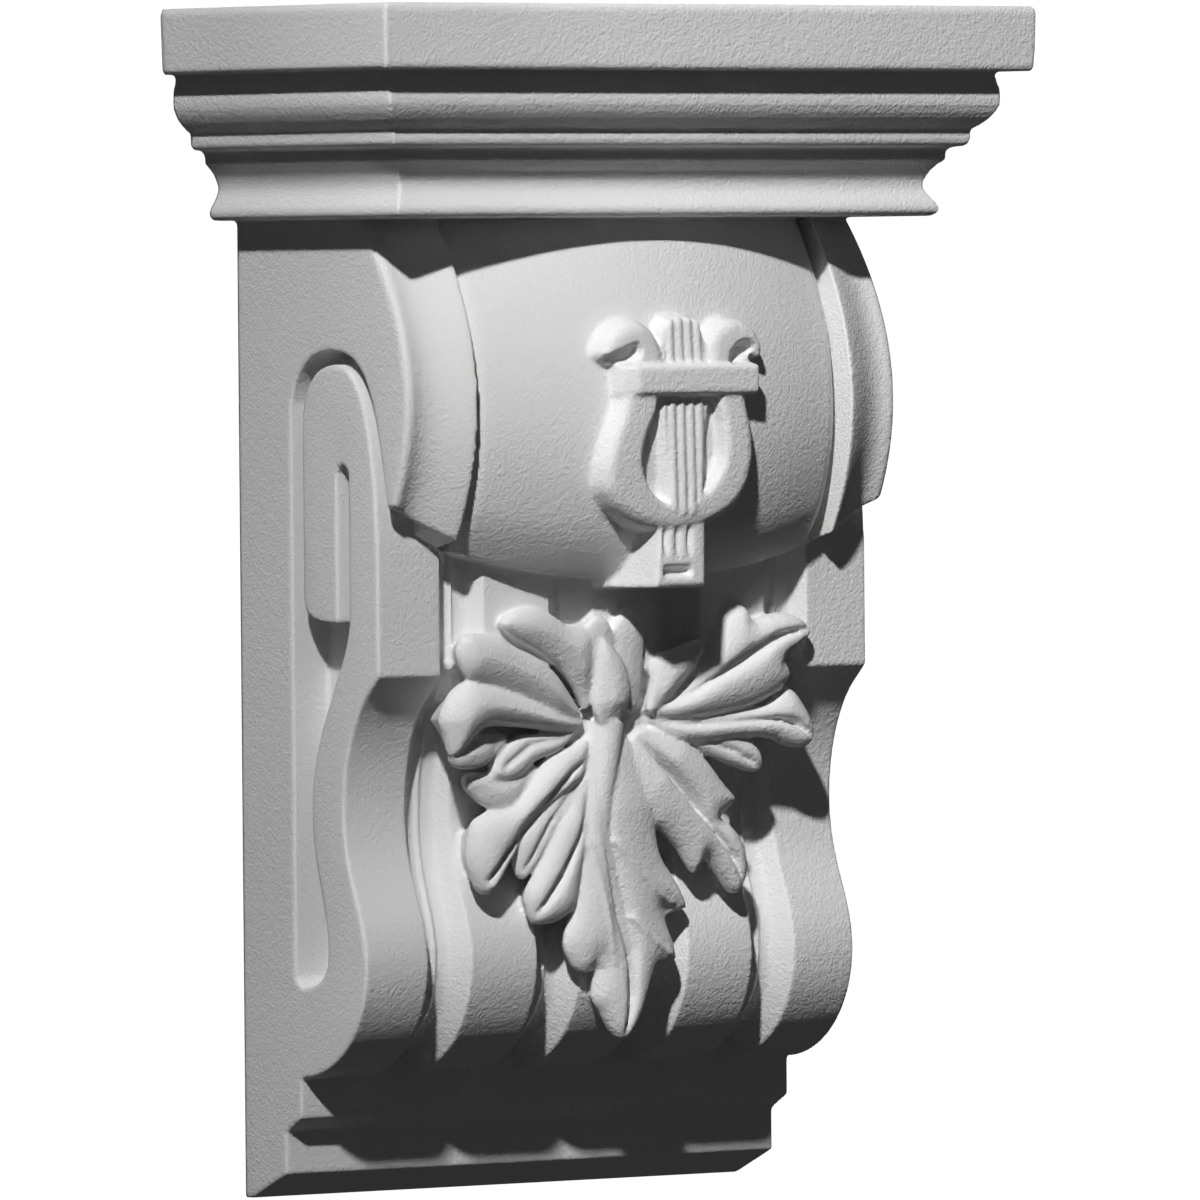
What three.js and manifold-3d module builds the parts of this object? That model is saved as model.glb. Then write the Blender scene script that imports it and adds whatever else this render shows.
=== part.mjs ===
import * as THREE from 'three';
import { mergeVertices } from 'three/addons/utils/BufferGeometryUtils.js';
import Module from 'manifold-3d';

const wasm = await Module();
wasm.setup();

// Millimetres. X runs along the wall, -Y points out from it and +Z is up.
// The origin is the centre of the flat back. A depth is measured out from the wall,
// and a drop down from the top of the cap.
const overallHeight = 254;
const capWidth = 181;
const capDepth = 79.4;
const bodyWidth = 135.8;

// cap mouldings, from the top down: each inset is measured in from the slab's face
const slabHeight = 14;
const capHeight = 45.2;
const soffitInset = 5.2;
const ovoloInset = 10.4;
const ovoloDrop = 26.9;
const filletHeight = 3.3;
const smallFilletInset = 14;
const smallFilletHeight = 2.3;
const coveInset = 17.1;
const bedLipInset = 14.8;
const bedLipHeight = 2.2;
const ringStep = 0.4;
const mouldingSteps = 5;
// how far joined pieces run into each other
const overlap = 2;

// side profile of the ribs, which stand back under the barrel's top
const underCapDepth = 38;
const underCapFoot = 60;
const pilasterTop = 72;
const pilasterDepth = 47.1;
const pilasterFoot = 142.1;
const pilasterChamfer = 3.6;
const hollowDepth = 34.8;
const hollowDrop = 171;
const bellyDepth = 42.1;
const bellyDrop = 203.5;
// lengths of the handles that lead the profile's curves out of these points
const chamferLead = 4.85;
const hollowLeadUp = 11;
const hollowLeadDown = 15;
const bellyLead = 11.5;
const bodyFrontSteps = [1, 7, 9, 10];
const fluteFrontSteps = [1, 6, 7, 8];

// base blocks
const upperBlockDepth = 19.6;
const upperBlockTop = 227.9;
const upperBlockFoot = 236.4;
const lowerBlockDepth = 14.3;
const lowerBlockTop = 239.6;
const lowerBlockFoot = 248.6;
const backFootDepth = 2.4;

// flutes between the ribs
const fluteCount = 4;
const flutePitch = 30;
const fluteWidth = 12;
const fluteFlank = 2.3;
const fluteCut = 4.6;
const fluteHollow = 0.9;
const fluteOverrun = 2;
const coveShoulder = 0.75;

// barrel between the scroll ends: its section is scaled about a centre line
const barrelHalfLength = 52;
const barrelCentreDepth = 22;
const barrelCentreDrop = 79;
const barrelCrownDepth = 58;
const barrelCrownDrop = 87;
const barrelCurve = 0.0096;
const barrelTopFullness = 0.45;
const barrelSwell = 0.2;
const barrelFoot = 115.3;
const barrelTopDrop = 43;
const barrelTopRun = 4;
const barrelBackDepth = 32;
const barrelSteps = 12;
const barrelStations = 14;

// scroll ends: a hollow channel between a rim beside the barrel and a lip at the side
const rimDepth = 61.8;
const rimFoot = 113.4;
const rimCurve = 0.0088;
const lipDepth = 58.2;
const lipFoot = 105.6;
const lipCurve = 0.0102;
const scrollCrownDrop = 84.6;
const scrollHollow = 2.4;
const scrollUndercut = 4;
const scrollRootDepth = 43.1;
const scrollBackDepth = 32;
const scrollStations = 7;
const scrollSteps = 10;

// recess in each side, with a tongue left standing in it
const recessCut = 9.7;
const recessBackDepth = 18;
const recessArchTop = 73;
const recessArchDepth = 31.6;
const recessArchSpring = 84.4;
const recessMouthDepth = 50.5;
const recessMouthDrop = 106.7;
const recessFoot = 208.6;
const tongueBackDepth = 21.6;
const tongueTop = 75.9;
const tongueFoot = 131;
const slitWidth = 3.8;
const slitTop = 97.4;
const strapWidth = 10;
const strapBellyWidth = 13.2;
const strapHollowWidth = 11;
// handles and short runs of the recess's outline
const archBackLead = 1.5;
const archRise = 3.6;
const archTopLead = 6.5;
const archFrontLead = 14;
const mouthLead = 4;
const mouthRun = 8;
const tongueFrontLead = 10;
const tongueNoseLead = 3;
const tongueNose = 1.4;
const tongueTopLead = 6;
const tongueShoulder = 14;
const tongueHeelRise = 6;
const strapLead = 2;
const strapRun = 12;
const strapHollowLeadUp = 18;
const strapHollowLeadDown = 13;
const strapBellyLead = 14;
const recessCorner = 2;
const recessCurveSteps = 5;

// raised blades: where their crests stand, how far their roots draw in, and the half width
// below which they lose height
const bladeCrest = 0.5;
const bladeRoot = 0.9;
const bladeFullReach = 4;

// lyre on the barrel
const lyreCentre = 0.5;
const lyreFront = 68.6;
const lyreTop = 66.6;
const crossbarWidth = 37;
const crossbarTop = 76.8;
const crossbarHeight = 6.4;
const crossbarProud = 0.8;
const bowlOuterRadius = 20.4;
const bowlInnerRadius = 11;
const bowlDrop = 96;
const bowlTopHalfWidth = 16.4;
const bowlMouthHalfWidth = 8;
const bowlLead = 8;
const bowlOuterFlatness = 0.8;
const bowlInnerFlatness = 0.95;
const bowlBevel = 1.2;
const stringCount = 4;
const stringPitch = 2.7;
const stringWidth = 2;
const stringSet = 2.6;
const stringDip = 1;
const smallBevel = 0.6;
const hornReach = 21.8;
const hornInnerReach = 4.8;
const hornHalfWidth = 3.3;
const hornFall = 7.4;
const hornEdgeFall = 1.2;
const hornSet = 2.6;
const footTopHalfWidth = 6.4;
const footHalfWidth = 7;
const footTop = 112.6;
const footBottom = 124.2;
const footSet = 0.8;
const reliefRoot = 14;

// leaf over the hollow of the ribs: its node is where the lobes meet
const leafReach = 51.5;
const leafNodeDrop = 153;
const leafHang = 69;
const leafNodeDepth = 45;
const leafSwell = 5;
const leafRootDepth = 27;
const leafFold = 2.6;
const leafEdgeFall = 3;
const lobeStations = 8;
const toothStations = 4;
const lobeFullness = 3;
const toothFullness = 1.9;
const rootShare = 0.35;
const tipShare = 0.07;

const wallPaint = new THREE.MeshStandardMaterial({ color: 0xd6d6d4, roughness: 0.85, metalness: 0 });

// a point of the object from its place along the wall, its depth and its drop
function at(x, depth, drop) {
  return new THREE.Vector3(x, -depth, overallHeight / 2 - drop);
}

// closed body through a row of rings that have the same number of points
function loft(rings) {
  const count = rings[0].length;
  const corners = rings.flat();
  const faces = [];
  for (let r = 0; r + 1 < rings.length; r += 1) {
    for (let k = 0; k < count; k += 1) {
      const a = r * count + k;
      const b = r * count + (k + 1) % count;
      faces.push([a, b, b + count], [a, b + count, a + count]);
    }
  }
  const last = corners.length - count;
  for (let k = 1; k + 1 < count; k += 1) {
    faces.push([0, k + 1, k], [last, last + k, last + k + 1]);
  }
  const volume = faces.reduce((sum, [a, b, c]) => {
    return sum + corners[a].dot(corners[b].clone().cross(corners[c]));
  }, 0);
  const outward = faces.map((face) => (volume < 0 ? [...face].reverse() : face));
  const geometry = new THREE.BufferGeometry();
  geometry.setAttribute('position', new THREE.Float32BufferAttribute(corners.flatMap((v) => v.toArray()), 3));
  geometry.setIndex(outward.flat());
  return geometry;
}

// manifold solid from a closed three.js geometry
function solidOf(geometry) {
  const bare = geometry.clone();
  bare.deleteAttribute('normal');
  bare.deleteAttribute('uv');
  const merged = mergeVertices(bare, 1e-3);
  const corners = merged.index.array;
  const kept = [];
  for (let k = 0; k < corners.length; k += 3) {
    const [a, b, c] = corners.slice(k, k + 3);
    if (a !== b && b !== c && c !== a) {
      kept.push(a, b, c);
    }
  }
  const { Manifold, Mesh } = wasm;
  return new Manifold(new Mesh({
    numProp: 3,
    vertProperties: new Float32Array(merged.attributes.position.array),
    triVerts: new Uint32Array(kept),
  }));
}

// shape drawn in depth and height, pushed along the wall between two places
function alongWall(shape, from, to, curveSegments) {
  const geometry = new THREE.ExtrudeGeometry(shape, { depth: to - from, bevelEnabled: false, curveSegments });
  geometry.applyMatrix4(new THREE.Matrix4().makeBasis(
    new THREE.Vector3(0, -1, 0),
    new THREE.Vector3(0, 0, 1),
    new THREE.Vector3(-1, 0, 0),
  ));
  geometry.translate(to, 0, 0);
  return geometry;
}

// shape drawn as seen from the front, standing between two depths
function outFromWall(shape, fromDepth, toDepth, bevel) {
  const geometry = new THREE.ExtrudeGeometry(shape, {
    depth: toDepth - fromDepth - bevel,
    bevelEnabled: bevel > 0,
    bevelSize: bevel,
    bevelOffset: -bevel,
    bevelThickness: bevel,
    bevelSegments: 1,
    curveSegments: 10,
  });
  geometry.rotateX(Math.PI / 2);
  geometry.translate(0, -fromDepth, 0);
  return geometry;
}

function heightOf(drop) {
  return overallHeight / 2 - drop;
}

// front line of the ribs, from the pilaster's foot down to the upper base block
function ribFront() {
  const path = new THREE.CurvePath();
  const chamferEnd = new THREE.Vector2(pilasterDepth - pilasterChamfer, pilasterFoot + pilasterChamfer);
  const hollow = new THREE.Vector2(hollowDepth, hollowDrop);
  const belly = new THREE.Vector2(bellyDepth, bellyDrop);
  path.add(new THREE.LineCurve(new THREE.Vector2(pilasterDepth, pilasterFoot), chamferEnd));
  path.add(new THREE.CubicBezierCurve(
    chamferEnd,
    new THREE.Vector2(chamferEnd.x - chamferLead, chamferEnd.y + chamferLead),
    new THREE.Vector2(hollow.x, hollow.y - hollowLeadUp),
    hollow,
  ));
  path.add(new THREE.CubicBezierCurve(
    hollow,
    new THREE.Vector2(hollow.x, hollow.y + hollowLeadDown),
    new THREE.Vector2(belly.x, belly.y - bellyLead),
    belly,
  ));
  path.add(new THREE.EllipseCurve(
    upperBlockDepth,
    bellyDrop,
    bellyDepth - upperBlockDepth,
    upperBlockTop - bellyDrop,
    0,
    Math.PI / 2,
  ));
  return path;
}

// points of the rib's front line, with a step count for each of its stretches
function ribFrontPoints(steps) {
  const points = [];
  ribFront().curves.forEach((curve, index) => {
    const stretch = curve.getPoints(steps[index]);
    points.push(...(index === 0 ? stretch : stretch.slice(1)));
  });
  return points;
}

function body() {
  const outline = [
    new THREE.Vector2(0, capHeight - overlap),
    new THREE.Vector2(underCapDepth, capHeight - overlap),
    new THREE.Vector2(underCapDepth, underCapFoot),
    new THREE.Vector2(pilasterDepth, pilasterTop),
    ...ribFrontPoints(bodyFrontSteps),
    new THREE.Vector2(upperBlockDepth, upperBlockFoot),
    new THREE.Vector2(lowerBlockDepth, lowerBlockTop),
    new THREE.Vector2(lowerBlockDepth, lowerBlockFoot),
    new THREE.Vector2(backFootDepth, overallHeight),
    new THREE.Vector2(0, overallHeight),
  ];
  const shape = new THREE.Shape(outline.map((p) => new THREE.Vector2(p.x, heightOf(p.y))));
  return solidOf(alongWall(shape, -bodyWidth / 2, bodyWidth / 2, 1));
}

// one rectangular ring of the cap at an inset from the slab's face
function capRing(inset, drop) {
  const half = capWidth / 2 - inset;
  const depth = capDepth - inset;
  return [at(-half, 0, drop), at(half, 0, drop), at(half, depth, drop), at(-half, depth, drop)];
}

function cap() {
  const rings = [capRing(0, 0), capRing(0, slabHeight), capRing(soffitInset, slabHeight + ringStep)];
  const ovoloStart = slabHeight + 2 * ringStep;
  for (let k = 0; k <= mouldingSteps; k += 1) {
    const turn = (k / mouldingSteps) * Math.PI / 2;
    const inset = ovoloInset - (ovoloInset - soffitInset) * Math.cos(turn);
    rings.push(capRing(inset, ovoloStart + (ovoloDrop - ovoloStart) * Math.sin(turn)));
  }
  const filletFoot = ovoloDrop + filletHeight;
  rings.push(capRing(ovoloInset, filletFoot));
  rings.push(capRing(smallFilletInset, filletFoot + ringStep));
  const coveTop = filletFoot + ringStep + smallFilletHeight;
  rings.push(capRing(smallFilletInset, coveTop));
  const coveFoot = capHeight - bedLipHeight;
  for (let k = 1; k <= mouldingSteps; k += 1) {
    const share = k / mouldingSteps;
    const level = smallFilletInset + (bedLipInset - smallFilletInset) * share;
    const bow = (coveInset - (smallFilletInset + bedLipInset) / 2) * Math.sin(Math.PI * share);
    rings.push(capRing(level + bow, coveTop + (coveFoot - coveTop) * share));
  }
  rings.push(capRing(bedLipInset, capHeight));
  return solidOf(loft(rings));
}

// channel that follows the ribs' front line from above the pilaster to the base block
function flute(centre) {
  const start = new THREE.Vector2(pilasterDepth, capHeight);
  const line = [start, ...ribFrontPoints(fluteFrontSteps)];
  const spread = (fluteFlank / fluteCut) * fluteOverrun;
  const rings = line.map((point, index) => {
    const before = line[Math.max(index - 1, 0)];
    const after = line[Math.min(index + 1, line.length - 1)];
    const run = after.clone().sub(before).normalize();
    const out = new THREE.Vector2(run.y, -run.x);
    if (index === line.length - 1) {
      out.set(0, 1);
    }
    const place = (x, rise) => {
      const p = point.clone().addScaledVector(out, rise);
      return at(centre + x, p.x, p.y);
    };
    const half = fluteWidth / 2;
    const floor = half - fluteFlank;
    return [
      place(-half - spread, fluteOverrun),
      place(-floor, -fluteCut),
      place(-floor / 2, -fluteCut - fluteHollow * coveShoulder),
      place(0, -fluteCut - fluteHollow),
      place(floor / 2, -fluteCut - fluteHollow * coveShoulder),
      place(floor, -fluteCut),
      place(half + spread, fluteOverrun),
    ];
  });
  return solidOf(loft(rings));
}

// barrel's section before it is scaled, in depth and drop: fuller at the top near the middle
function barrelSection(x) {
  const points = [];
  const top = barrelTopDrop - barrelTopRun;
  const fullness = barrelTopFullness * (1 - (x / barrelHalfLength) ** 2);
  for (let k = 0; k <= barrelSteps; k += 1) {
    const drop = top + (barrelFoot - top) * (k / barrelSteps);
    const curve = drop < barrelCrownDrop ? barrelCurve * (1 - fullness) : barrelCurve;
    points.push(new THREE.Vector2(barrelCrownDepth - curve * (drop - barrelCrownDrop) ** 2, drop));
  }
  points.push(new THREE.Vector2(barrelBackDepth, barrelFoot - overlap));
  points.push(new THREE.Vector2(barrelBackDepth, top));
  return points;
}

function barrelScale(x) {
  return 1 + barrelSwell * (1 - (x / barrelHalfLength) ** 2);
}

function barrel() {
  const rings = [];
  for (let k = 0; k <= barrelStations; k += 1) {
    const x = barrelHalfLength * (2 * (k / barrelStations) - 1);
    const scale = barrelScale(x);
    rings.push(barrelSection(x).map((p) => {
      const drop = barrelCentreDrop + (p.y - barrelCentreDrop) * scale;
      return at(x, barrelCentreDepth + (p.x - barrelCentreDepth) * scale, Math.max(drop, barrelTopDrop));
    }));
  }
  return solidOf(loft(rings));
}

// scroll end: rings stand side by side from the rim beside the barrel to the side face
function scrollEnd(side) {
  const inner = barrelHalfLength - ringStep;
  const outer = bodyWidth / 2;
  const rings = [];
  for (let k = 0; k <= scrollStations; k += 1) {
    const share = k / scrollStations;
    const curve = rimCurve + (lipCurve - rimCurve) * share;
    const crown = rimDepth + (lipDepth - rimDepth) * share - scrollHollow * Math.sin(Math.PI * share);
    const foot = rimFoot + (lipFoot - rimFoot) * share;
    const ring = [];
    for (let j = 0; j <= scrollSteps; j += 1) {
      const drop = barrelTopDrop + (foot - barrelTopDrop) * (j / scrollSteps);
      ring.push(new THREE.Vector2(crown - curve * (drop - scrollCrownDrop) ** 2, drop));
    }
    ring.push(new THREE.Vector2(scrollRootDepth, foot + scrollUndercut));
    ring.push(new THREE.Vector2(scrollBackDepth, foot));
    ring.push(new THREE.Vector2(scrollBackDepth, barrelTopDrop));
    const x = side * (inner + (outer - inner) * share);
    rings.push(ring.map((p) => at(x, p.x, p.y)));
  }
  return solidOf(loft(rings));
}

// outline of the recess in depth and drop, with the tongue and the slit left out of it
function recessShape() {
  const shape = new THREE.Shape();
  const slitBack = pilasterDepth - strapWidth - slitWidth;
  const slitFront = pilasterDepth - strapWidth;
  const hollowBack = hollowDepth - strapHollowWidth;
  const bellyBack = bellyDepth - strapBellyWidth;
  const tongueNoseDepth = recessArchDepth + tongueNose;
  shape.moveTo(recessBackDepth, heightOf(recessArchSpring));
  shape.bezierCurveTo(
    recessBackDepth + archBackLead, heightOf(recessArchTop + archRise),
    recessArchDepth - archTopLead, heightOf(recessArchTop),
    recessArchDepth, heightOf(recessArchTop),
  );
  shape.bezierCurveTo(
    recessArchDepth + archFrontLead, heightOf(recessArchTop),
    recessMouthDepth - mouthLead, heightOf(recessArchTop + archFrontLead),
    recessMouthDepth, heightOf(recessMouthDrop),
  );
  shape.lineTo(recessMouthDepth, heightOf(recessMouthDrop + mouthRun));
  shape.lineTo(pilasterDepth, heightOf(recessMouthDrop + mouthRun));
  shape.bezierCurveTo(
    pilasterDepth - 1, heightOf(recessMouthDrop - tongueFrontLead),
    pilasterDepth - tongueNoseLead, heightOf(tongueTop),
    tongueNoseDepth, heightOf(tongueTop),
  );
  shape.bezierCurveTo(
    recessArchDepth - tongueTopLead, heightOf(tongueTop),
    tongueBackDepth, heightOf(tongueTop + tongueShoulder / 3),
    tongueBackDepth, heightOf(tongueTop + tongueShoulder),
  );
  shape.lineTo(tongueBackDepth, heightOf(tongueFoot - tongueHeelRise));
  shape.bezierCurveTo(
    tongueBackDepth, heightOf(tongueFoot - tongueHeelRise / 6),
    tongueBackDepth + tongueHeelRise * 2 / 3, heightOf(tongueFoot),
    slitBack, heightOf(tongueFoot),
  );
  shape.lineTo(slitBack, heightOf(slitTop + slitWidth / 2));
  shape.absarc((slitBack + slitFront) / 2, heightOf(slitTop + slitWidth / 2), slitWidth / 2, Math.PI, 0, true);
  shape.lineTo(slitFront, heightOf(tongueFoot));
  shape.bezierCurveTo(
    slitFront - strapLead, heightOf(tongueFoot + strapRun),
    hollowBack, heightOf(hollowDrop - strapHollowLeadUp),
    hollowBack, heightOf(hollowDrop),
  );
  shape.bezierCurveTo(
    hollowBack, heightOf(hollowDrop + strapHollowLeadDown),
    bellyBack, heightOf(bellyDrop - strapBellyLead),
    bellyBack, heightOf(bellyDrop - recessCorner),
  );
  shape.bezierCurveTo(
    bellyBack, heightOf(recessFoot - recessCorner),
    bellyBack - 2 * recessCorner, heightOf(recessFoot),
    recessBackDepth + recessCorner, heightOf(recessFoot),
  );
  shape.lineTo(recessBackDepth, heightOf(recessFoot - recessCorner));
  shape.closePath();
  return shape;
}

function recess(side) {
  const face = bodyWidth / 2;
  const from = side < 0 ? -face - recessCut : face - recessCut;
  return solidOf(alongWall(recessShape(), from, from + 2 * recessCut, recessCurveSteps));
}

function rectangle(left, right, top, foot) {
  const shape = new THREE.Shape();
  shape.moveTo(left, heightOf(top));
  shape.lineTo(left, heightOf(foot));
  shape.lineTo(right, heightOf(foot));
  shape.lineTo(right, heightOf(top));
  shape.closePath();
  return shape;
}

// horseshoe bowl of the lyre, open at the top under the crossbar
function lyreBowl() {
  const top = heightOf(crossbarTop + crossbarHeight / 2);
  const middle = heightOf(bowlDrop);
  const shape = new THREE.Shape();
  shape.moveTo(-bowlTopHalfWidth, top);
  shape.quadraticCurveTo(-bowlOuterRadius, middle + bowlLead, -bowlOuterRadius, middle);
  shape.absellipse(0, middle, bowlOuterRadius, bowlOuterRadius * bowlOuterFlatness, Math.PI, 2 * Math.PI, false, 0);
  shape.quadraticCurveTo(bowlOuterRadius, middle + bowlLead, bowlTopHalfWidth, top);
  shape.lineTo(bowlMouthHalfWidth, top);
  shape.quadraticCurveTo(bowlInnerRadius, middle + bowlLead, bowlInnerRadius, middle);
  shape.absellipse(0, middle, bowlInnerRadius, bowlInnerRadius * bowlInnerFlatness, 2 * Math.PI, Math.PI, true, 0);
  shape.quadraticCurveTo(-bowlInnerRadius, middle + bowlLead, -bowlMouthHalfWidth, top);
  shape.closePath();
  return outFromWall(shape, lyreFront - reliefRoot, lyreFront, bowlBevel);
}

// Raised blade along a midrib of [place along the wall, depth, drop] points: it is half(share)
// wide to each side, folded down along the middle, falls off to its edges and stands on root.
function blade({ midrib, half, fold, fall, root, stations }) {
  const rings = [];
  for (let k = 0; k < stations; k += 1) {
    const share = k / (stations - 1);
    const spine = midrib.getPoint(share);
    const run = midrib.getTangent(share);
    const across = new THREE.Vector2(-run.z, run.x).normalize();
    const reach = half(share);
    const shade = Math.min(1, reach / bladeFullReach);
    const place = (t, rise) => at(spine.x + across.x * t * reach, spine.y + rise, spine.z + across.y * t * reach);
    rings.push([
      place(-1, -fall * shade),
      place(-bladeCrest, 0),
      place(0, -fold * shade),
      place(bladeCrest, 0),
      place(1, -fall * shade),
      place(bladeRoot, root - spine.y),
      place(-bladeRoot, root - spine.y),
    ]);
  }
  return solidOf(loft(rings));
}

// horn that rises from the crossbar and curls outward to a point, drawn for the right side
function lyreHorn() {
  const line = new THREE.CatmullRomCurve3([
    [hornInnerReach + hornHalfWidth, crossbarTop + 1],
    [hornInnerReach + hornHalfWidth * 1.1, lyreTop + hornHalfWidth * 1.6],
    [(hornInnerReach + hornReach) / 2, lyreTop + hornHalfWidth * 0.75],
    [hornReach - 2.4, lyreTop + hornHalfWidth * 1.1],
    [hornReach, lyreTop + hornFall],
  ].map(([x, drop]) => new THREE.Vector3(x, lyreFront - hornSet, drop)));
  return blade({
    midrib: line,
    half: (share) => hornHalfWidth * (1 - 0.85 * share ** 2),
    fold: 0,
    fall: hornEdgeFall,
    root: lyreFront - reliefRoot,
    stations: 9,
  });
}

function lyre() {
  const crossbar = outFromWall(
    rectangle(-crossbarWidth / 2, crossbarWidth / 2, crossbarTop, crossbarTop + crossbarHeight),
    lyreFront - reliefRoot,
    lyreFront + crossbarProud,
    smallBevel,
  );
  const footShape = new THREE.Shape();
  footShape.moveTo(-footTopHalfWidth, heightOf(footTop));
  footShape.lineTo(-footHalfWidth, heightOf(footBottom));
  footShape.lineTo(footHalfWidth, heightOf(footBottom));
  footShape.lineTo(footTopHalfWidth, heightOf(footTop));
  footShape.closePath();
  const foot = outFromWall(footShape, pilasterDepth - overlap, lyreFront - footSet, footSet);
  let solid = solidOf(lyreBowl()).add(solidOf(crossbar)).add(solidOf(foot));
  for (let k = 0; k < stringCount; k += 1) {
    const middle = (k - (stringCount - 1) / 2) * stringPitch;
    const string = rectangle(middle - stringWidth / 2, middle + stringWidth / 2, lyreTop, bowlDrop + bowlInnerRadius);
    solid = solid.add(solidOf(outFromWall(string, lyreFront - reliefRoot, lyreFront - stringSet, smallBevel)));
  }
  const backing = rectangle(
    -stringPitch * stringCount / 2,
    stringPitch * stringCount / 2,
    lyreTop + smallBevel,
    bowlDrop + bowlInnerRadius,
  );
  solid = solid.add(solidOf(outFromWall(backing, lyreFront - reliefRoot, lyreFront - stringSet - stringDip, 0)));
  return solid.add(lyreHorn()).add(lyreHorn().mirror([1, 0, 0])).translate([lyreCentre, 0, 0]);
}

// Point of the leaf in shares: across its reach, down its hang and out by its swell. The top
// lobe reaches up to minus 0.36, and the hanging lobe's tip is at 1.
function leafPoint([across, down, out]) {
  return new THREE.Vector3(
    across * leafReach,
    leafNodeDepth + out * leafSwell,
    leafNodeDrop + down * leafHang,
  );
}

// One lobe of the leaf along its midrib, which bends once; width is its half width in shares
// of the hang, and a high fullness keeps it broad until near its tip.
function lobe({ root, bend, tip, width, fullness = lobeFullness, fold = leafFold, stations = lobeStations }) {
  return blade({
    midrib: new THREE.QuadraticBezierCurve3(leafPoint(root), leafPoint(bend), leafPoint(tip)),
    half: (share) => {
      const opening = Math.min(1, rootShare + (1 - rootShare) * share * 2);
      return width * leafHang * opening * Math.max(1 - share ** fullness, tipShare);
    },
    fold,
    fall: leafEdgeFall,
    root: leafRootDepth,
    stations,
  });
}

function tooth(spec) {
  return lobe({ fullness: toothFullness, fold: leafFold / 3, stations: toothStations, ...spec });
}

// lobes drawn for the right side and mirrored to the left
const pairedLobes = [
  { root: [0.06, -0.02, 0], bend: [0.5, -0.13, 0.9], tip: [0.96, -0.275, 1], width: 0.12 },
  { root: [0.08, 0, 0], bend: [0.55, 0, 0.6], tip: [1, 0.06, 0.6], width: 0.1, fullness: 4 },
  { root: [0.04, 0.03, 0], bend: [0.38, 0.2, 0.3], tip: [0.67, 0.54, 0], width: 0.135, fullness: 4 },
  { root: [0.06, -0.03, 0.2], bend: [0.2, -0.16, 1], tip: [0.37, -0.26, 1], width: 0.09 },
];

// teeth on those lobes and on the hanging one
const pairedTeeth = [
  { root: [0.4, -0.16, 0.4], bend: [0.5, -0.25, 0.8], tip: [0.6, -0.36, 1], width: 0.07 },
  { root: [0.62, -0.2, 0.4], bend: [0.76, -0.17, 0.6], tip: [0.86, -0.14, 0.6], width: 0.06 },
  { root: [0.66, 0.02, 0.2], bend: [0.78, -0.03, 0.6], tip: [0.85, -0.1, 0.6], width: 0.07 },
  { root: [0.36, 0.06, 0], bend: [0.55, 0.11, 0.2], tip: [0.75, 0.155, 0.2], width: 0.06 },
  { root: [0.3, 0.13, 0], bend: [0.48, 0.17, 0.2], tip: [0.63, 0.255, 0.1], width: 0.085 },
  { root: [0.36, 0.28, 0], bend: [0.5, 0.33, 0.1], tip: [0.64, 0.4, 0], width: 0.07 },
  { root: [0.3, 0.3, -0.2], bend: [0.38, 0.4, 0], tip: [0.42, 0.48, 0], width: 0.06 },
  { root: [0.04, 0.3, 0], bend: [0.2, 0.42, 0.1], tip: [0.4, 0.585, 0], width: 0.1 },
  { root: [0.04, 0.5, 0], bend: [0.18, 0.6, 0.1], tip: [0.3, 0.75, 0], width: 0.09 },
];

// lobes on the centre line: the one that hangs, the one that stands, and the bud
const middleLobes = [
  { root: [0, 0, 0], bend: [0, 0.5, 0.4], tip: [0, 1, 0], width: 0.165, fullness: 4 },
  { root: [0, -0.02, 0], bend: [0, -0.15, 0.8], tip: [0, -0.36, 1], width: 0.09 },
  { root: [-0.05, 0.02, 0.6], bend: [-0.07, -0.12, 1.4], tip: [-0.14, -0.28, 1], width: 0.065, fold: 0 },
];

function leaf() {
  const right = [...pairedLobes.map(lobe), ...pairedTeeth.map(tooth)];
  let solid = lobe(middleLobes[0]);
  for (const spec of middleLobes.slice(1)) {
    solid = solid.add(lobe(spec));
  }
  for (const piece of right) {
    solid = solid.add(piece).add(piece.mirror([1, 0, 0]));
  }
  return solid;
}

function corbelSolid() {
  let solid = body();
  for (let k = 0; k < fluteCount; k += 1) {
    solid = solid.subtract(flute((k - (fluteCount - 1) / 2) * flutePitch));
  }
  solid = solid.add(scrollEnd(-1)).add(scrollEnd(1));
  solid = solid.subtract(recess(-1)).subtract(recess(1));
  return solid.add(barrel()).add(lyre()).add(leaf()).add(cap());
}

function corbel() {
  const mesh = corbelSolid().getMesh();
  const geometry = new THREE.BufferGeometry();
  geometry.setAttribute('position', new THREE.BufferAttribute(mesh.vertProperties, 3));
  geometry.setIndex(new THREE.BufferAttribute(mesh.triVerts, 1));
  geometry.computeVertexNormals();
  const part = new THREE.Mesh(geometry, wallPaint);
  part.name = 'corbel';
  return part;
}

const group = new THREE.Group();
group.add(corbel());

export default group;
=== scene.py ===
import math

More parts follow.
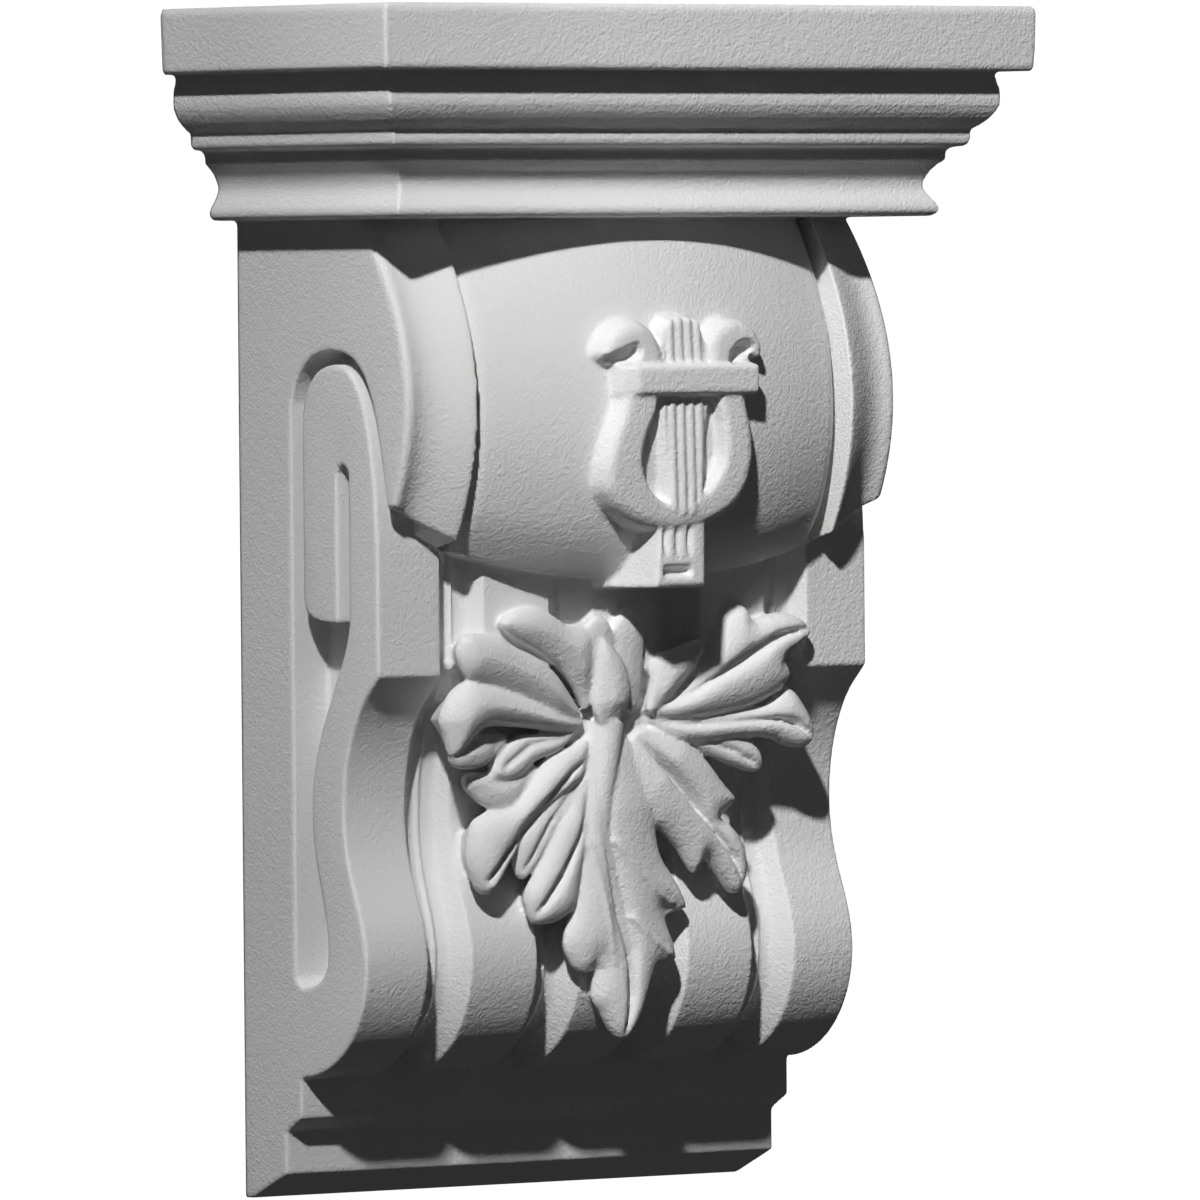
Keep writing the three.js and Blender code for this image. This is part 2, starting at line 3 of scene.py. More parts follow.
import bpy
import numpy as np
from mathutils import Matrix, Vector


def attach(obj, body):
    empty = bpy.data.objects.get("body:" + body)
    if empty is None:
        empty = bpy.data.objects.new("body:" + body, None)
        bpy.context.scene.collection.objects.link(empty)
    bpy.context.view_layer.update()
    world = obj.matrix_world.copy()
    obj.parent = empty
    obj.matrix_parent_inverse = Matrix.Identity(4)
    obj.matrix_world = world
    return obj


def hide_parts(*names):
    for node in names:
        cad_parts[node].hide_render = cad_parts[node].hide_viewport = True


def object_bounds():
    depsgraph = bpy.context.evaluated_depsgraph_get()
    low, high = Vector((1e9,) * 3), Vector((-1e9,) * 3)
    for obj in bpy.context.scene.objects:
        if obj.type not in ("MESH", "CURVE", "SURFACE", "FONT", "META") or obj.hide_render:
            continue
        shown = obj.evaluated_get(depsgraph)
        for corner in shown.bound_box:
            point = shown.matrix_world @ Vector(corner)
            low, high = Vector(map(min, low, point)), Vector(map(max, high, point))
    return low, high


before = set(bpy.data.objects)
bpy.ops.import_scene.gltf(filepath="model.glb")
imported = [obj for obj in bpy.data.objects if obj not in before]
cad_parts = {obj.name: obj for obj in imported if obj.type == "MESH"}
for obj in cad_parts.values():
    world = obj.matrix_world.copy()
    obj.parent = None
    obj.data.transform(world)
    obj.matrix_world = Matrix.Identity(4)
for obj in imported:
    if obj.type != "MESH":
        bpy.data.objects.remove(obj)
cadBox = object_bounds()  # the CAD model's own box, before anything else is made
mm = 0.001
capTop = cadBox[1].z
slabHalf = cadBox[1].x / mm
slabDepth = -cadBox[0].y / mm
overallDrop = (cadBox[1].z - cadBox[0].z) / mm

# Shapes are worked out in millimetres: x along the wall, depth out from the wall and
# drop down from the top of the cap. Each vertex then takes its place in the frame.


def clearSelection():
    bpy.ops.object.select_all(action="DESELECT")


def pickOnly(piece):
    clearSelection()
    piece.select_set(True)
    bpy.context.view_layer.objects.active = piece


def finishWith(piece, kind, **settings):
    pickOnly(piece)
    bpy.ops.object.modifier_add(type=kind)
    modifier = piece.modifiers[-1]
    for name, value in settings.items():
        setattr(modifier, name, value)
    bpy.ops.object.modifier_apply(modifier=modifier.name)


def turnOutward(piece):
    pickOnly(piece)
    bpy.ops.object.mode_set(mode="EDIT")
    bpy.ops.mesh.select_all(action="SELECT")
    bpy.ops.mesh.normals_make_consistent(inside=False)
    bpy.ops.object.mode_set(mode="OBJECT")


def vertexPlaces(piece):
    places = np.empty(len(piece.data.vertices) * 3)
    piece.data.vertices.foreach_get("co", places)
    return places.reshape(-1, 3)


def placeVertices(piece, x, depth, drop):
    places = np.column_stack((x * mm, -depth * mm, capTop - drop * mm))
    piece.data.vertices.foreach_set("co", places.ravel())
    piece.data.update()


def shapedBlock(name, columns, rows, shape):
    # A grid is drawn out to a block, and shape(u, v, back) gives each vertex its place.
    clearSelection()
    bpy.ops.mesh.primitive_grid_add(x_subdivisions=columns, y_subdivisions=rows, size=1)
    piece = bpy.context.object
    piece.name = name
    bpy.ops.object.mode_set(mode="EDIT")
    bpy.ops.mesh.select_all(action="SELECT")
    bpy.ops.mesh.extrude_region_move(TRANSFORM_OT_translate={"value": (0, 0, 1)})
    bpy.ops.object.mode_set(mode="OBJECT")
    flat = vertexPlaces(piece)
    u = np.clip(flat[:, 0] + 0.5, 0, 1)
    v = np.clip(flat[:, 1] + 0.5, 0, 1)
    placeVertices(piece, *shape(u, v, flat[:, 2] > 0.5))
    turnOutward(piece)
    return piece


def along(v, points):
    # Place on a run of points, with v from 0 at the first to 1 at the last.
    points = np.array(points, float)
    steps = np.linspace(0, 1, len(points))
    return [np.interp(v, steps, points[:, k]) for k in range(points.shape[1])]


def bezier(start, first, second, end, count):
    t = np.linspace(0, 1, count)[:, None]
    start, first, second, end = (np.array(p, float) for p in (start, first, second, end))
    early = (1 - t) ** 3 * start + 3 * t * (1 - t) ** 2 * first
    return early + 3 * t**2 * (1 - t) * second + t**3 * end


def arc(centre, radii, fromDegrees, toDegrees, count):
    turn = np.radians(np.linspace(fromDegrees, toDegrees, count))
    return np.column_stack((centre[0] + radii[0] * np.cos(turn), centre[1] + radii[1] * np.sin(turn)))


# Cap: a slab over an ovolo, two fillets, a cove and a small lip.
cap = {
    "slabHeight": 14,
    "slabTopEdge": 1.5,
    "slabFootEdge": 0.9,
    "slabFrontCorner": 0.3,
    "slabBackCorner": 4.8,
    "slabLean": 0.5,
    "height": 45.2,
    "cornerSegments": 8,
    "edgeSegments": 3,
    "topSegments": 4,
}
# Inset from the slab's face and drop at each level of the mouldings.
capProfile = [
    (6.2, 12.8), (6.2, 14.1), (6.5, 14.9), (6.2, 16), (5.8, 17.6), (5.6, 19.6), (5.8, 21.3),
    (6.5, 22.9), (7.7, 24.5), (9.3, 25.9), (10.3, 26.4), (10.4, 27), (10.4, 28.6), (10.6, 29.5),
    (11.2, 30), (13.3, 30.3), (13.9, 30.8), (14.1, 31.6), (14, 32.6), (14.4, 33.2), (15.3, 33.8),
    (16.6, 35.4), (17.4, 37), (17.7, 38.4), (17.3, 39.9), (16.2, 41.5), (15.4, 42.7), (15.2, 43.8),
    (15.6, 44.6), (16.6, 45.1),
]


def bevelEdges(piece, width, segments, chosen):
    # Rounds the edges for which chosen(first, second) holds.
    pickOnly(piece)
    bpy.ops.object.mode_set(mode="EDIT")
    bpy.ops.mesh.select_all(action="DESELECT")
    bpy.ops.mesh.select_mode(type="EDGE")
    bpy.ops.object.mode_set(mode="OBJECT")
    for edge in piece.data.edges:
        edge.select = chosen(*(piece.data.vertices[k].co for k in edge.vertices))
    bpy.ops.object.mode_set(mode="EDIT")
    bpy.ops.mesh.bevel(offset=width * mm, segments=segments, affect="EDGES")
    bpy.ops.object.mode_set(mode="OBJECT")


def makeSlab():
    clearSelection()
    bpy.ops.mesh.primitive_cube_add(size=1)
    piece = bpy.context.object
    piece.name = "slab"
    foot = capTop - cap["slabHeight"] * mm
    bpy.ops.object.mode_set(mode="EDIT")
    bpy.ops.mesh.select_all(action="SELECT")
    bpy.ops.transform.resize(value=(2 * slabHalf * mm, slabDepth * mm, cap["slabHeight"] * mm))
    middle = (0, -slabDepth * mm / 2, (capTop + foot) / 2)
    bpy.ops.transform.translate(value=middle)
    bpy.ops.object.mode_set(mode="OBJECT")
    for vertex in piece.data.vertices:
        if vertex.co.z < middle[2]:
            lean = cap["slabLean"] * mm
            vertex.co.x -= math.copysign(lean, vertex.co.x)
            vertex.co.y += lean if vertex.co.y < middle[1] else 0

    def upright(first, second):
        return abs(first.z - second.z) > mm

    def backCorner(first, second):
        return upright(first, second) and first.y > middle[1]

    def frontCorner(first, second):
        return upright(first, second) and first.y < -slabDepth * mm * 0.9

    def topEdge(first, second):
        return min(first.z, second.z) > capTop - mm and min(first.y, second.y) < -mm

    def footEdge(first, second):
        return max(first.z, second.z) < foot + mm / 2 and min(first.y, second.y) < -mm

    bevelEdges(piece, cap["slabBackCorner"], cap["cornerSegments"], backCorner)
    bevelEdges(piece, cap["slabFrontCorner"], cap["edgeSegments"], frontCorner)
    bevelEdges(piece, cap["slabTopEdge"], cap["topSegments"], topEdge)
    bevelEdges(piece, cap["slabFootEdge"], cap["edgeSegments"], footEdge)
    turnOutward(piece)
    return piece


def makeMouldings():
    clearSelection()
    bpy.ops.mesh.primitive_plane_add(size=1, location=(0, 0, 0))
    piece = bpy.context.object
    piece.name = "mouldings"
    inset, level = capProfile[0]
    width, reach = slabHalf - inset, slabDepth - inset
    top = capTop - level * mm
    bpy.ops.object.mode_set(mode="EDIT")
    bpy.ops.mesh.select_all(action="SELECT")
    bpy.ops.transform.translate(value=(0, -0.5, top))
    bpy.ops.transform.resize(value=(2 * width * mm, reach * mm, 1), center_override=(0, 0, top))
    for inset, drop in capProfile[1:]:
        lowered = (0, 0, -(drop - level) * mm)
        bpy.ops.mesh.extrude_region_move(TRANSFORM_OT_translate={"value": lowered})
        change = ((slabHalf - inset) / width, (slabDepth - inset) / reach, 1)
        bpy.ops.transform.resize(value=change, center_override=(0, 0, capTop - drop * mm))
        width, reach, level = slabHalf - inset, slabDepth - inset, drop
    bpy.ops.object.mode_set(mode="OBJECT")
    turnOutward(piece)
    return piece


# Body: side slabs and ribs that share one front line, with four flutes between them.
body = {
    "halfWidth": 67.9,
    "topDepth": 38,
    "topFoot": 60,
    "pilasterDepth": 47.1,
    "pilasterFoot": 142.1,
    "chamfer": 3.6,
    "hollow": (34.8, 171),
    "belly": (42.1, 203.5),
    "upperBlockDepth": 19.6,
    "upperBlockTop": 227.9,
    "upperBlockFoot": 236.4,
    "lowerBlockDepth": 14.3,
    "lowerBlockTop": 239.6,
    "lowerBlockFoot": 248.6,
    "backFootDepth": 2.4,
    "fluteCount": 4,
    "flutePitch": 30,
    "fluteHalf": 6,
    "coveHollow": 0.9,
    "underCap": 2,
    "pilasterTop": 72,
    "pilasterMiddle": 110,
    "firstBend": (4.9, 4.8),
    "hollowLead": 11,
    "hollowTail": 15,
    "bellyLead": 11.5,
    "curveSteps": 24,
    "curlSteps": 26,
    "rows": 260,
    "flankSteps": 4,
    "coveSteps": 11,
    "baseTop": 224,
}
# How wide and how deep the flutes' steep flanks are, down the front.
flankDrops = [60, 142, 171, 203, 228]
flankWidths = [1.9, 1.9, 1.6, 2.6, 2.6]
flankDepths = [3.6, 3.6, 3, 4.9, 4.9]


def ribFront():
    # Front line of the ribs in depth and drop, from under the barrel to the base block.
    foot = (body["pilasterDepth"], body["pilasterFoot"])
    chamferEnd = (foot[0] - body["chamfer"], foot[1] + body["chamfer"])
    hollow, belly = body["hollow"], body["belly"]
    firstBend = (chamferEnd[0] - body["firstBend"][0], chamferEnd[1] + body["firstBend"][1])
    steps = body["curveSteps"]
    toHollow = bezier(chamferEnd, firstBend, (hollow[0], hollow[1] - body["hollowLead"]), hollow, steps)
    afterHollow = (hollow[0], hollow[1] + body["hollowTail"])
    toBelly = bezier(hollow, afterHollow, (belly[0], belly[1] - body["bellyLead"]), belly, steps)
    radii = (belly[0] - body["upperBlockDepth"], body["upperBlockTop"] - belly[1])
    curl = arc((body["upperBlockDepth"], belly[1]), radii, 0, 90, body["curlSteps"])
    top = [(body["topDepth"], cap["height"] - body["underCap"]), (body["topDepth"], body["topFoot"])]
    pilaster = [(foot[0], body["pilasterTop"]), (foot[0], body["pilasterMiddle"]), foot]
    return np.vstack((top, pilaster, toHollow, toBelly[1:], curl[1:]))


def evenly(line, count):
    # The same line with its points spaced evenly.
    reach = np.concatenate(([0], np.cumsum(np.linalg.norm(np.diff(line, axis=0), axis=1))))
    steps = np.linspace(0, reach[-1], count)
    return np.column_stack([np.interp(steps, reach, line[:, k]) for k in range(2)])


def fluteStations():
    # Places across the body where its front changes: share of the rib, flank or cove.
    stations = [(-body["halfWidth"], 0, 0)]
    for index in range(body["fluteCount"]):
        centre = (index - (body["fluteCount"] - 1) / 2) * body["flutePitch"]
        for flank in np.linspace(0, 1, body["flankSteps"]):
            stations.append((centre - body["fluteHalf"], flank, -1))
        for cove in np.linspace(-1, 1, body["coveSteps"])[1:-1]:
            stations.append((centre, 1 + abs(cove), 2 * cove))
        for flank in np.linspace(1, 0, body["flankSteps"]):
            stations.append((centre + body["fluteHalf"], flank, 1))
    stations.append((body["halfWidth"], 0, 0))
    return stations


def makeBody():
    line = evenly(ribFront(), body["rows"])
    run = np.gradient(line, axis=0)
    run /= np.linalg.norm(run, axis=1)[:, None]
    inward = np.column_stack((-run[:, 1], run[:, 0]))
    stations = np.array(fluteStations())
    rows = len(line) - 1
    columns = len(stations) - 1

    def shape(u, v, back):
        row = np.rint(v * rows).astype(int)
        place = stations[np.rint(u * columns).astype(int)]
        base, share, side = place[:, 0], place[:, 1], place[:, 2]
        drops = line[row, 1]
        flank = np.interp(drops, flankDrops, flankWidths)
        steep = np.interp(drops, flankDrops, flankDepths)
        onCove = share > 1
        cove = np.where(onCove, side / 2, 0)
        x = np.where(onCove, base + cove * (body["fluteHalf"] - flank), base - side * share * flank)
        cut = np.where(onCove, steep + body["coveHollow"] * (1 - cove**2), share * steep)
        depth = line[row, 0] + inward[row, 0] * cut
        drop = drops + inward[row, 1] * cut
        backDrop = np.interp(v, (0, 1), (line[0, 1], body["upperBlockTop"] + 1))
        return x, np.where(back, 0, depth), np.where(back, backDrop, drop)

    return shapedBlock("body", columns, rows, shape)


def makeBase():
    line = [
        (body["upperBlockDepth"], body["baseTop"]),
        (body["upperBlockDepth"], body["upperBlockFoot"]),
        (body["lowerBlockDepth"], body["lowerBlockTop"]),
        (body["lowerBlockDepth"], body["lowerBlockFoot"]),
        (body["backFootDepth"], overallDrop),
    ]

    def shape(u, v, back):
        depth, drop = along(v, line)
        x = (2 * u - 1) * body["halfWidth"]
        return x, np.where(back, 0, depth), drop

    return shapedBlock("base", 2, len(line) - 1, shape)


# Barrel between the scroll ends. Its section swells towards the middle.
barrel = {
    "halfLength": 50.7,
    "gapAtFoot": 1.2,
    "centre": (22, 79),
    "crown": (58, 87),
    "curve": 0.0096,
    "swell": 0.2,
    "foot": 115.3,
    "top": 39,
    "backDepth": 30,
    "endStrip": 2.6,
    "endFall": 0.9,
    "topFullness": 0.45,
    "endShare": 0.5,
    "footBend": 0.02,
    "footBendDrop": 105,
    "footShare": 0.9,
    "undersideDepth": 34,
    "gapTop": 70,
    "gapRun": 45,
    "overCap": 4,
    "steps": 80,
}


def barrelSection(x, own):
    # front of the section before its swell; it is fuller above the crown, most of all at the middle
    fuller = 1 - barrel["topFullness"] * (1 - barrel["endShare"] * (x / scroll["rim"]) ** 2)
    above = np.where(own < barrel["crown"][1], fuller, 1)
    bend = barrel["footBend"] * np.maximum(own - barrel["footBendDrop"], 0) ** 2
    return barrel["crown"][0] - barrel["curve"] * above * (own - barrel["crown"][1]) ** 2 - bend


def barrelSwell(x):
    return 1 + barrel["swell"] * (1 - (x / scroll["rim"]) ** 2)


def barrelFront(x, drop):
    centreDepth, centreDrop = barrel["centre"]
    swell = barrelSwell(x)
    return centreDepth + (barrelSection(x, centreDrop + (drop - centreDrop) / swell) - centreDepth) * swell


def makeBarrel():
    turn = barrel["footShare"]

    def shape(u, v, back):
        own = np.interp(v, (0, turn, 1), (barrel["top"], barrel["foot"], barrel["foot"] - 1))
        gap = np.clip((own - barrel["gapTop"]) / barrel["gapRun"], 0, 1)
        half = barrel["halfLength"] - barrel["gapAtFoot"] * gap
        x = (2 * u - 1) * half
        front = barrelSection(x, np.minimum(own, barrel["foot"]))
        under = np.clip((v - turn) / (1 - turn), 0, 1)
        front = front + (barrel["undersideDepth"] - front) * under
        fall = barrel["endFall"] * np.clip(1 - (half - np.abs(x)) / barrel["endStrip"], 0, 1)
        centreDepth, centreDrop = barrel["centre"]
        depth = centreDepth + (front - centreDepth) * barrelSwell(x) - fall
        low = centreDrop + (own - centreDrop) * barrelSwell(x)
        low = np.maximum(low, cap["height"] - barrel["overCap"])
        return x, np.where(back, barrel["backDepth"], depth), low

    return shapedBlock("barrel", barrel["steps"], barrel["steps"], shape)


# Scroll ends: a hollow channel between a proud rim beside the barrel and a soft lip.
scroll = {
    "rim": 52,
    "rimDepth": 61.8,
    "rimFoot": 113.4,
    "rimCurve": 0.0088,
    "lipDepth": 58.4,
    "lipFoot": 105.6,
    "lipCurve": 0.0102,
    "crownDrop": 84.6,
    "lipRadius": 2.2,
    "hollow": 2.3,
    "hollowPlace": 0.62,
    "undercut": 3.4,
    "overCap": 4,
    "frontShare": 0.85,
    "underIn": 6,
    "backDepth": 26,
    "columns": 36,
    "rows": 80,
}
# Share of the hollow at each drop.
hollowDrops = [45, 80, 105]
hollowShares = [0.6, 0.9, 1.25]


def makeScrollEnd(name, side):
    rim = scroll["rim"]
    outer = body["halfWidth"]
    turn = scroll["frontShare"]
    underDepth = body["pilasterDepth"] - scroll["underIn"]

    def shape(share, v, back):
        curve = scroll["rimCurve"] + (scroll["lipCurve"] - scroll["rimCurve"]) * share
        foot = scroll["rimFoot"] + (scroll["lipFoot"] - scroll["rimFoot"]) * share
        top = cap["height"] - scroll["overCap"]
        drop = top + (foot - top) * np.clip(v / turn, 0, 1)
        x = rim + (outer - rim) * share
        # the section dips quickly from the rim and rises again to the lip
        dip = np.sin(np.pi * share ** (math.log(0.5) / math.log(scroll["hollowPlace"])))
        deeper = np.interp(drop, hollowDrops, hollowShares)
        crown = scroll["rimDepth"] + (scroll["lipDepth"] - scroll["rimDepth"]) * share
        crown = crown - scroll["hollow"] * deeper * dip
        toLip = np.clip(1 - (outer - x) / scroll["lipRadius"], 0, 1)
        crown = crown - scroll["lipRadius"] * (1 - np.sqrt(1 - toLip**2 * 0.98))
        front = crown - curve * (drop - scroll["crownDrop"]) ** 2
        under = np.clip((v - turn) / (1 - turn), 0, 1)
        depth = front + (underDepth - front) * under
        low = drop + scroll["undercut"] * under
        return side * x, np.where(back, scroll["backDepth"], depth), low

    return shapedBlock(name, scroll["columns"], scroll["rows"], shape)


# Recess in each side: a channel round a tongue, and a slit in the tongue.
recess = {
    "cut": 9.7,
    "back": 18,
    "archTop": 73,
    "archDepth": 31.6,
    "spring": 84.4,
    "mouth": (50.5, 106.7),
    "foot": 208.6,
    "tongueBack": 21.6,
    "tongueTop": 75.9,
    "tongueFoot": 131,
    "slitWidth": 3.8,
    "slitTop": 97.4,
    "strap": 10,
    "bellyStrap": 13.2,
    "hollowStrap": 11,
}


def recessOutline():
    pilaster, hollow, belly = body["pilasterDepth"], body["hollow"], body["belly"]
    back, foot, mouth = recess["back"], recess["foot"], recess["mouth"]
    tongueBack, tongueTop, tongueFoot = recess["tongueBack"], recess["tongueTop"], recess["tongueFoot"]
    slitFront = pilaster - recess["strap"]
    slitBack = slitFront - recess["slitWidth"]
    slitRadius = recess["slitWidth"] / 2
    hollowBack = hollow[0] - recess["hollowStrap"]
    bellyBack = belly[0] - recess["bellyStrap"]
    spring = (back, recess["spring"])
    top = (recess["archDepth"], recess["archTop"])
    mouthFoot = (pilaster, mouth[1] + 8)
    crown = (top[0] + 1.4, tongueTop)
    tongueSide = (tongueBack, tongueTop + 14)
    tongueCorner = (tongueBack, tongueFoot - 6)
    slitCorner = (slitBack, tongueFoot)
    slitCentre = ((slitBack + slitFront) / 2, recess["slitTop"] + slitRadius)
    slitFoot = (slitFront, tongueFoot)
    atHollow = (hollowBack, hollow[1])
    atBelly = (bellyBack, belly[1] - 2)
    # the two middle points of each curved run are the leads that bend it
    runs = [
        bezier(spring, (back + 1.5, top[1] + 3.6), (top[0] - 6.5, top[1]), top, 9),
        bezier(top, (top[0] + 14, top[1]), (mouth[0] - 4, top[1] + 14), mouth, 14),
        [(mouth[0], mouthFoot[1]), mouthFoot],
        bezier(mouthFoot, (pilaster - 1, mouth[1] - 10), (pilaster - 3, tongueTop), crown, 14),
        bezier(crown, (top[0] - 6, tongueTop), (tongueBack, tongueTop + 5), tongueSide, 10),
        bezier(tongueCorner, (tongueBack, tongueFoot - 1), (tongueBack + 4, tongueFoot), slitCorner, 7),
        arc(slitCentre, (slitRadius, slitRadius), 180, 360, 9),
        bezier(slitFoot, (slitFront - 2, tongueFoot + 12), (hollowBack, hollow[1] - 18), atHollow, 14),
        bezier(atHollow, (hollowBack, hollow[1] + 13), (bellyBack, belly[1] - 14), atBelly, 10),
        bezier(atBelly, (bellyBack, foot - 2), (bellyBack - 4, foot), (back + 2, foot), 6),
        [(back, foot - 2)],
    ]
    outline = np.vstack(runs)
    apart = np.linalg.norm(outline - np.roll(outline, 1, axis=0), axis=1) > 0.05
    return outline[apart]


def makeRecessCutter(side):
    outline = recessOutline()
    clearSelection()
    bpy.ops.mesh.primitive_circle_add(vertices=len(outline), radius=1, fill_type="NGON")
    piece = bpy.context.object
    piece.name = "recessCutter"
    inner = side * (body["halfWidth"] - recess["cut"])
    placeVertices(piece, np.full(len(outline), inner), outline[:, 0], outline[:, 1])
    bpy.ops.object.mode_set(mode="EDIT")
    bpy.ops.mesh.select_all(action="SELECT")
    reach = side * 2 * recess["cut"] * mm
    bpy.ops.mesh.extrude_region_move(TRANSFORM_OT_translate={"value": (reach, 0, 0)})
    bpy.ops.object.mode_set(mode="OBJECT")
    turnOutward(piece)
    return piece


def cutSides(pieces):
    for side in (-1, 1):
        cutter = makeRecessCutter(side)
        for piece in pieces:
            finishWith(piece, "BOOLEAN", operation="DIFFERENCE", object=cutter, solver="EXACT")
        pickOnly(cutter)
        bpy.ops.object.delete()


# Relief is carved on a fine grid: each form is a height over the grid, and the highest shows.
def distanceToLine(x, drop, line):
    # Distance to a run of points, and how far along it the nearest place is, from 0 to 1.
    line = np.array(line, float)
    nearest = np.full(x.shape, 1e9)
    place = np.zeros(x.shape)
    lengths = np.linalg.norm(np.diff(line, axis=0), axis=1)
    before = np.concatenate(([0], np.cumsum(lengths)))
    for k, length in enumerate(lengths):
        if length < 1e-6:
            continue
        run = (line[k + 1] - line[k]) / length
        t = np.clip((x - line[k, 0]) * run[0] + (drop - line[k, 1]) * run[1], 0, length)
        gap = np.hypot(x - line[k, 0] - t * run[0], drop - line[k, 1] - t * run[1])
        closer = gap < nearest
        nearest = np.where(closer, gap, nearest)
        place = np.where(closer, (before[k] + t) / before[-1], place)
    return nearest, place


def softened(outline, rounds=2):
    # The same closed outline with its corners cut, so that it reads as carved.
    points = np.array(outline, float)
    for _ in range(rounds):
        following = np.roll(points, -1, axis=0)
        early = points * 0.8 + following * 0.2
        late = points * 0.2 + following * 0.8
        points = np.stack((early, late), axis=1).reshape(-1, 2)
    return points


def insideBy(x, drop, outline):
    # Distance inside a closed outline, negative outside it.
    points = softened(outline)
    gap, _ = distanceToLine(x, drop, np.vstack((points, points[:1])))
    inside = np.zeros(x.shape, bool)
    for (ax, ay), (bx, by) in zip(points, np.roll(points, -1, axis=0)):
        if ay == by:
            continue
        crosses = (ay > drop) != (by > drop)
        inside ^= crosses & (x < (bx - ax) * (drop - ay) / (by - ay) + ax)
    return np.where(inside, gap, -gap)


def edgeRound(inside, radius):
    # How far a soft edge falls, close to an outline.
    near = np.clip(1 - inside / radius, 0, 1)
    return radius * (1 - np.sqrt(1 - near**2 * 0.999))


wallSteepness = 9  # how fast carved sides fall, in millimetres for each millimetre outwards


def reliefBlock(name, left, right, top, foot, step, root, heights):
    columns = round((right - left) / step)
    rows = round((foot - top) / step)

    def shape(u, v, back):
        x = left + (right - left) * u
        drop = top + (foot - top) * v
        height = heights(x[~back], drop[~back])
        depth = np.full(x.shape, float(root))
        depth[~back] = np.maximum(height, root + 0.2)
        return x, depth, drop

    return shapedBlock(name, columns, rows, shape)


# Lyre on the barrel. Its outlines are runs of x and drop.
lyre = {
    "front": 68.6,
    "lean": 2.4,
    "leanTop": 84,
    "leanFoot": 113,
    "root": 50,
    "step": 0.4,
    "left": -24,
    "right": 24,
    "top": 65,
    "foot": 113,
    "bowlEdge": 2.6,
    "bowlInnerEdge": 1.6,
    "barTop": 76.6,
    "barFoot": 83,
    "barLeft": -17.4,
    "barRight": 19.8,
    "barProud": 1,
    "barEdge": 0.9,
    "barFlank": 3.6,
    "barFlankFall": 2.2,
    "bowl": [
        (-16.7, 80), (-17.2, 85), (-20.2, 92), (-21.9, 98), (-21.6, 103), (-18.4, 107), (-13.4, 110),
        (-7.5, 111.8), (-1.8, 112.4), (4.5, 111.8), (10.2, 110), (15, 107.2), (18, 103.4),
        (19.7, 97.5), (19.2, 91), (17.6, 85.6), (16.4, 80),
    ],
    "bowlHollow": [
        (-6.9, 80), (-7.6, 86), (-10.2, 91), (-11.6, 95), (-11.2, 99), (-9, 103), (-5.6, 105.5),
        (-1.7, 106.6), (3, 105.8), (7.5, 102.8), (10.3, 99), (11.2, 95), (10.6, 89), (9.4, 84),
        (9.2, 80),
    ],
}
strings = {
    "outline": [
        (-5.2, 66.4), (5.6, 66.4), (7.2, 76), (7.6, 85), (6, 98), (5.4, 109), (-3, 109), (-4.6, 98),
        (-5.6, 85), (-5.8, 76),
    ],
    "leanDrops": (66, 80, 108),
    "leans": (0.4, 0.9, 1.4),
    "pitch": 2.55,
    "front": 66,
    "height": 1.5,
    "fullness": 0.55,
    "edge": 1.2,
}
horn = {"back": 0.6, "edge": 3, "floor": 65.3}
# Each horn has an outline and the hollow under its curl.
horns = [
    (
        [
            (-22.4, 74.6), (-20.6, 70.2), (-16.4, 67.4), (-12, 66.8), (-8, 68.8), (-5.4, 73),
            (-4.8, 78), (-14, 78), (-15.5, 76.4), (-19.5, 76.6),
        ],
        [(-22.2, 75.2), (-17, 73.4), (-12.4, 72), (-12, 74.4), (-14, 76), (-18, 76.6)],
    ),
    (
        [
            (6.2, 78), (6.6, 72), (8.6, 68.6), (12.5, 66.6), (17, 67), (20.8, 69), (22.8, 73),
            (22.6, 75.2), (21, 75.8), (19.4, 74.2), (19, 77), (14, 78),
        ],
        [
            (12.8, 77), (13, 74.2), (15, 72.2), (18, 71.6), (20, 73), (18.6, 74.6), (16, 75.2),
            (14.4, 77),
        ],
    ),
]


def bowlHeights(x, drop, front):
    outside = insideBy(x, drop, lyre["bowl"])
    hollow = -insideBy(x, drop, lyre["bowlHollow"])
    within = np.minimum(outside, hollow)
    crest = front - edgeRound(np.maximum(outside, 0), lyre["bowlEdge"])
    crest = crest - edgeRound(np.maximum(hollow, 0), lyre["bowlInnerEdge"])
    return crest + wallSteepness * np.minimum(within, 0)


def stringHeights(x, drop):
    inside = insideBy(x, drop, strings["outline"])
    lean = np.interp(drop, strings["leanDrops"], strings["leans"])
    ridge = np.abs(np.sin(np.pi * (x - lean) / strings["pitch"])) ** strings["fullness"]
    crest = strings["front"] + strings["height"] * ridge
    crest = crest - edgeRound(np.maximum(inside, 0), strings["edge"])
    return crest + wallSteepness * np.minimum(inside, 0) / 2


def hornHeights(x, drop, front, outline, hollow):
    inside = insideBy(x, drop, outline)
    top = front - horn["back"] - edgeRound(np.maximum(inside, 0), horn["edge"])
    pit = insideBy(x, drop, hollow)
    floor = horn["floor"] + wallSteepness * np.maximum(-pit, 0)
    top = np.where(pit > -0.5, np.minimum(top, floor), top)
    return top + wallSteepness * np.minimum(inside, 0) / 1.5


def barHeights(x, drop, front):
    sides = [x - lyre["barLeft"], lyre["barRight"] - x, drop - lyre["barTop"], lyre["barFoot"] - drop]
    inside = np.minimum.reduce(sides)
    height = front + lyre["barProud"] - edgeRound(np.maximum(inside, 0), lyre["barEdge"])
    flank = np.clip((x - lyre["barLeft"]) / lyre["barFlank"], 0, 1)
    return height + wallSteepness * np.minimum(inside, 0) - lyre["barFlankFall"] * (1 - flank)


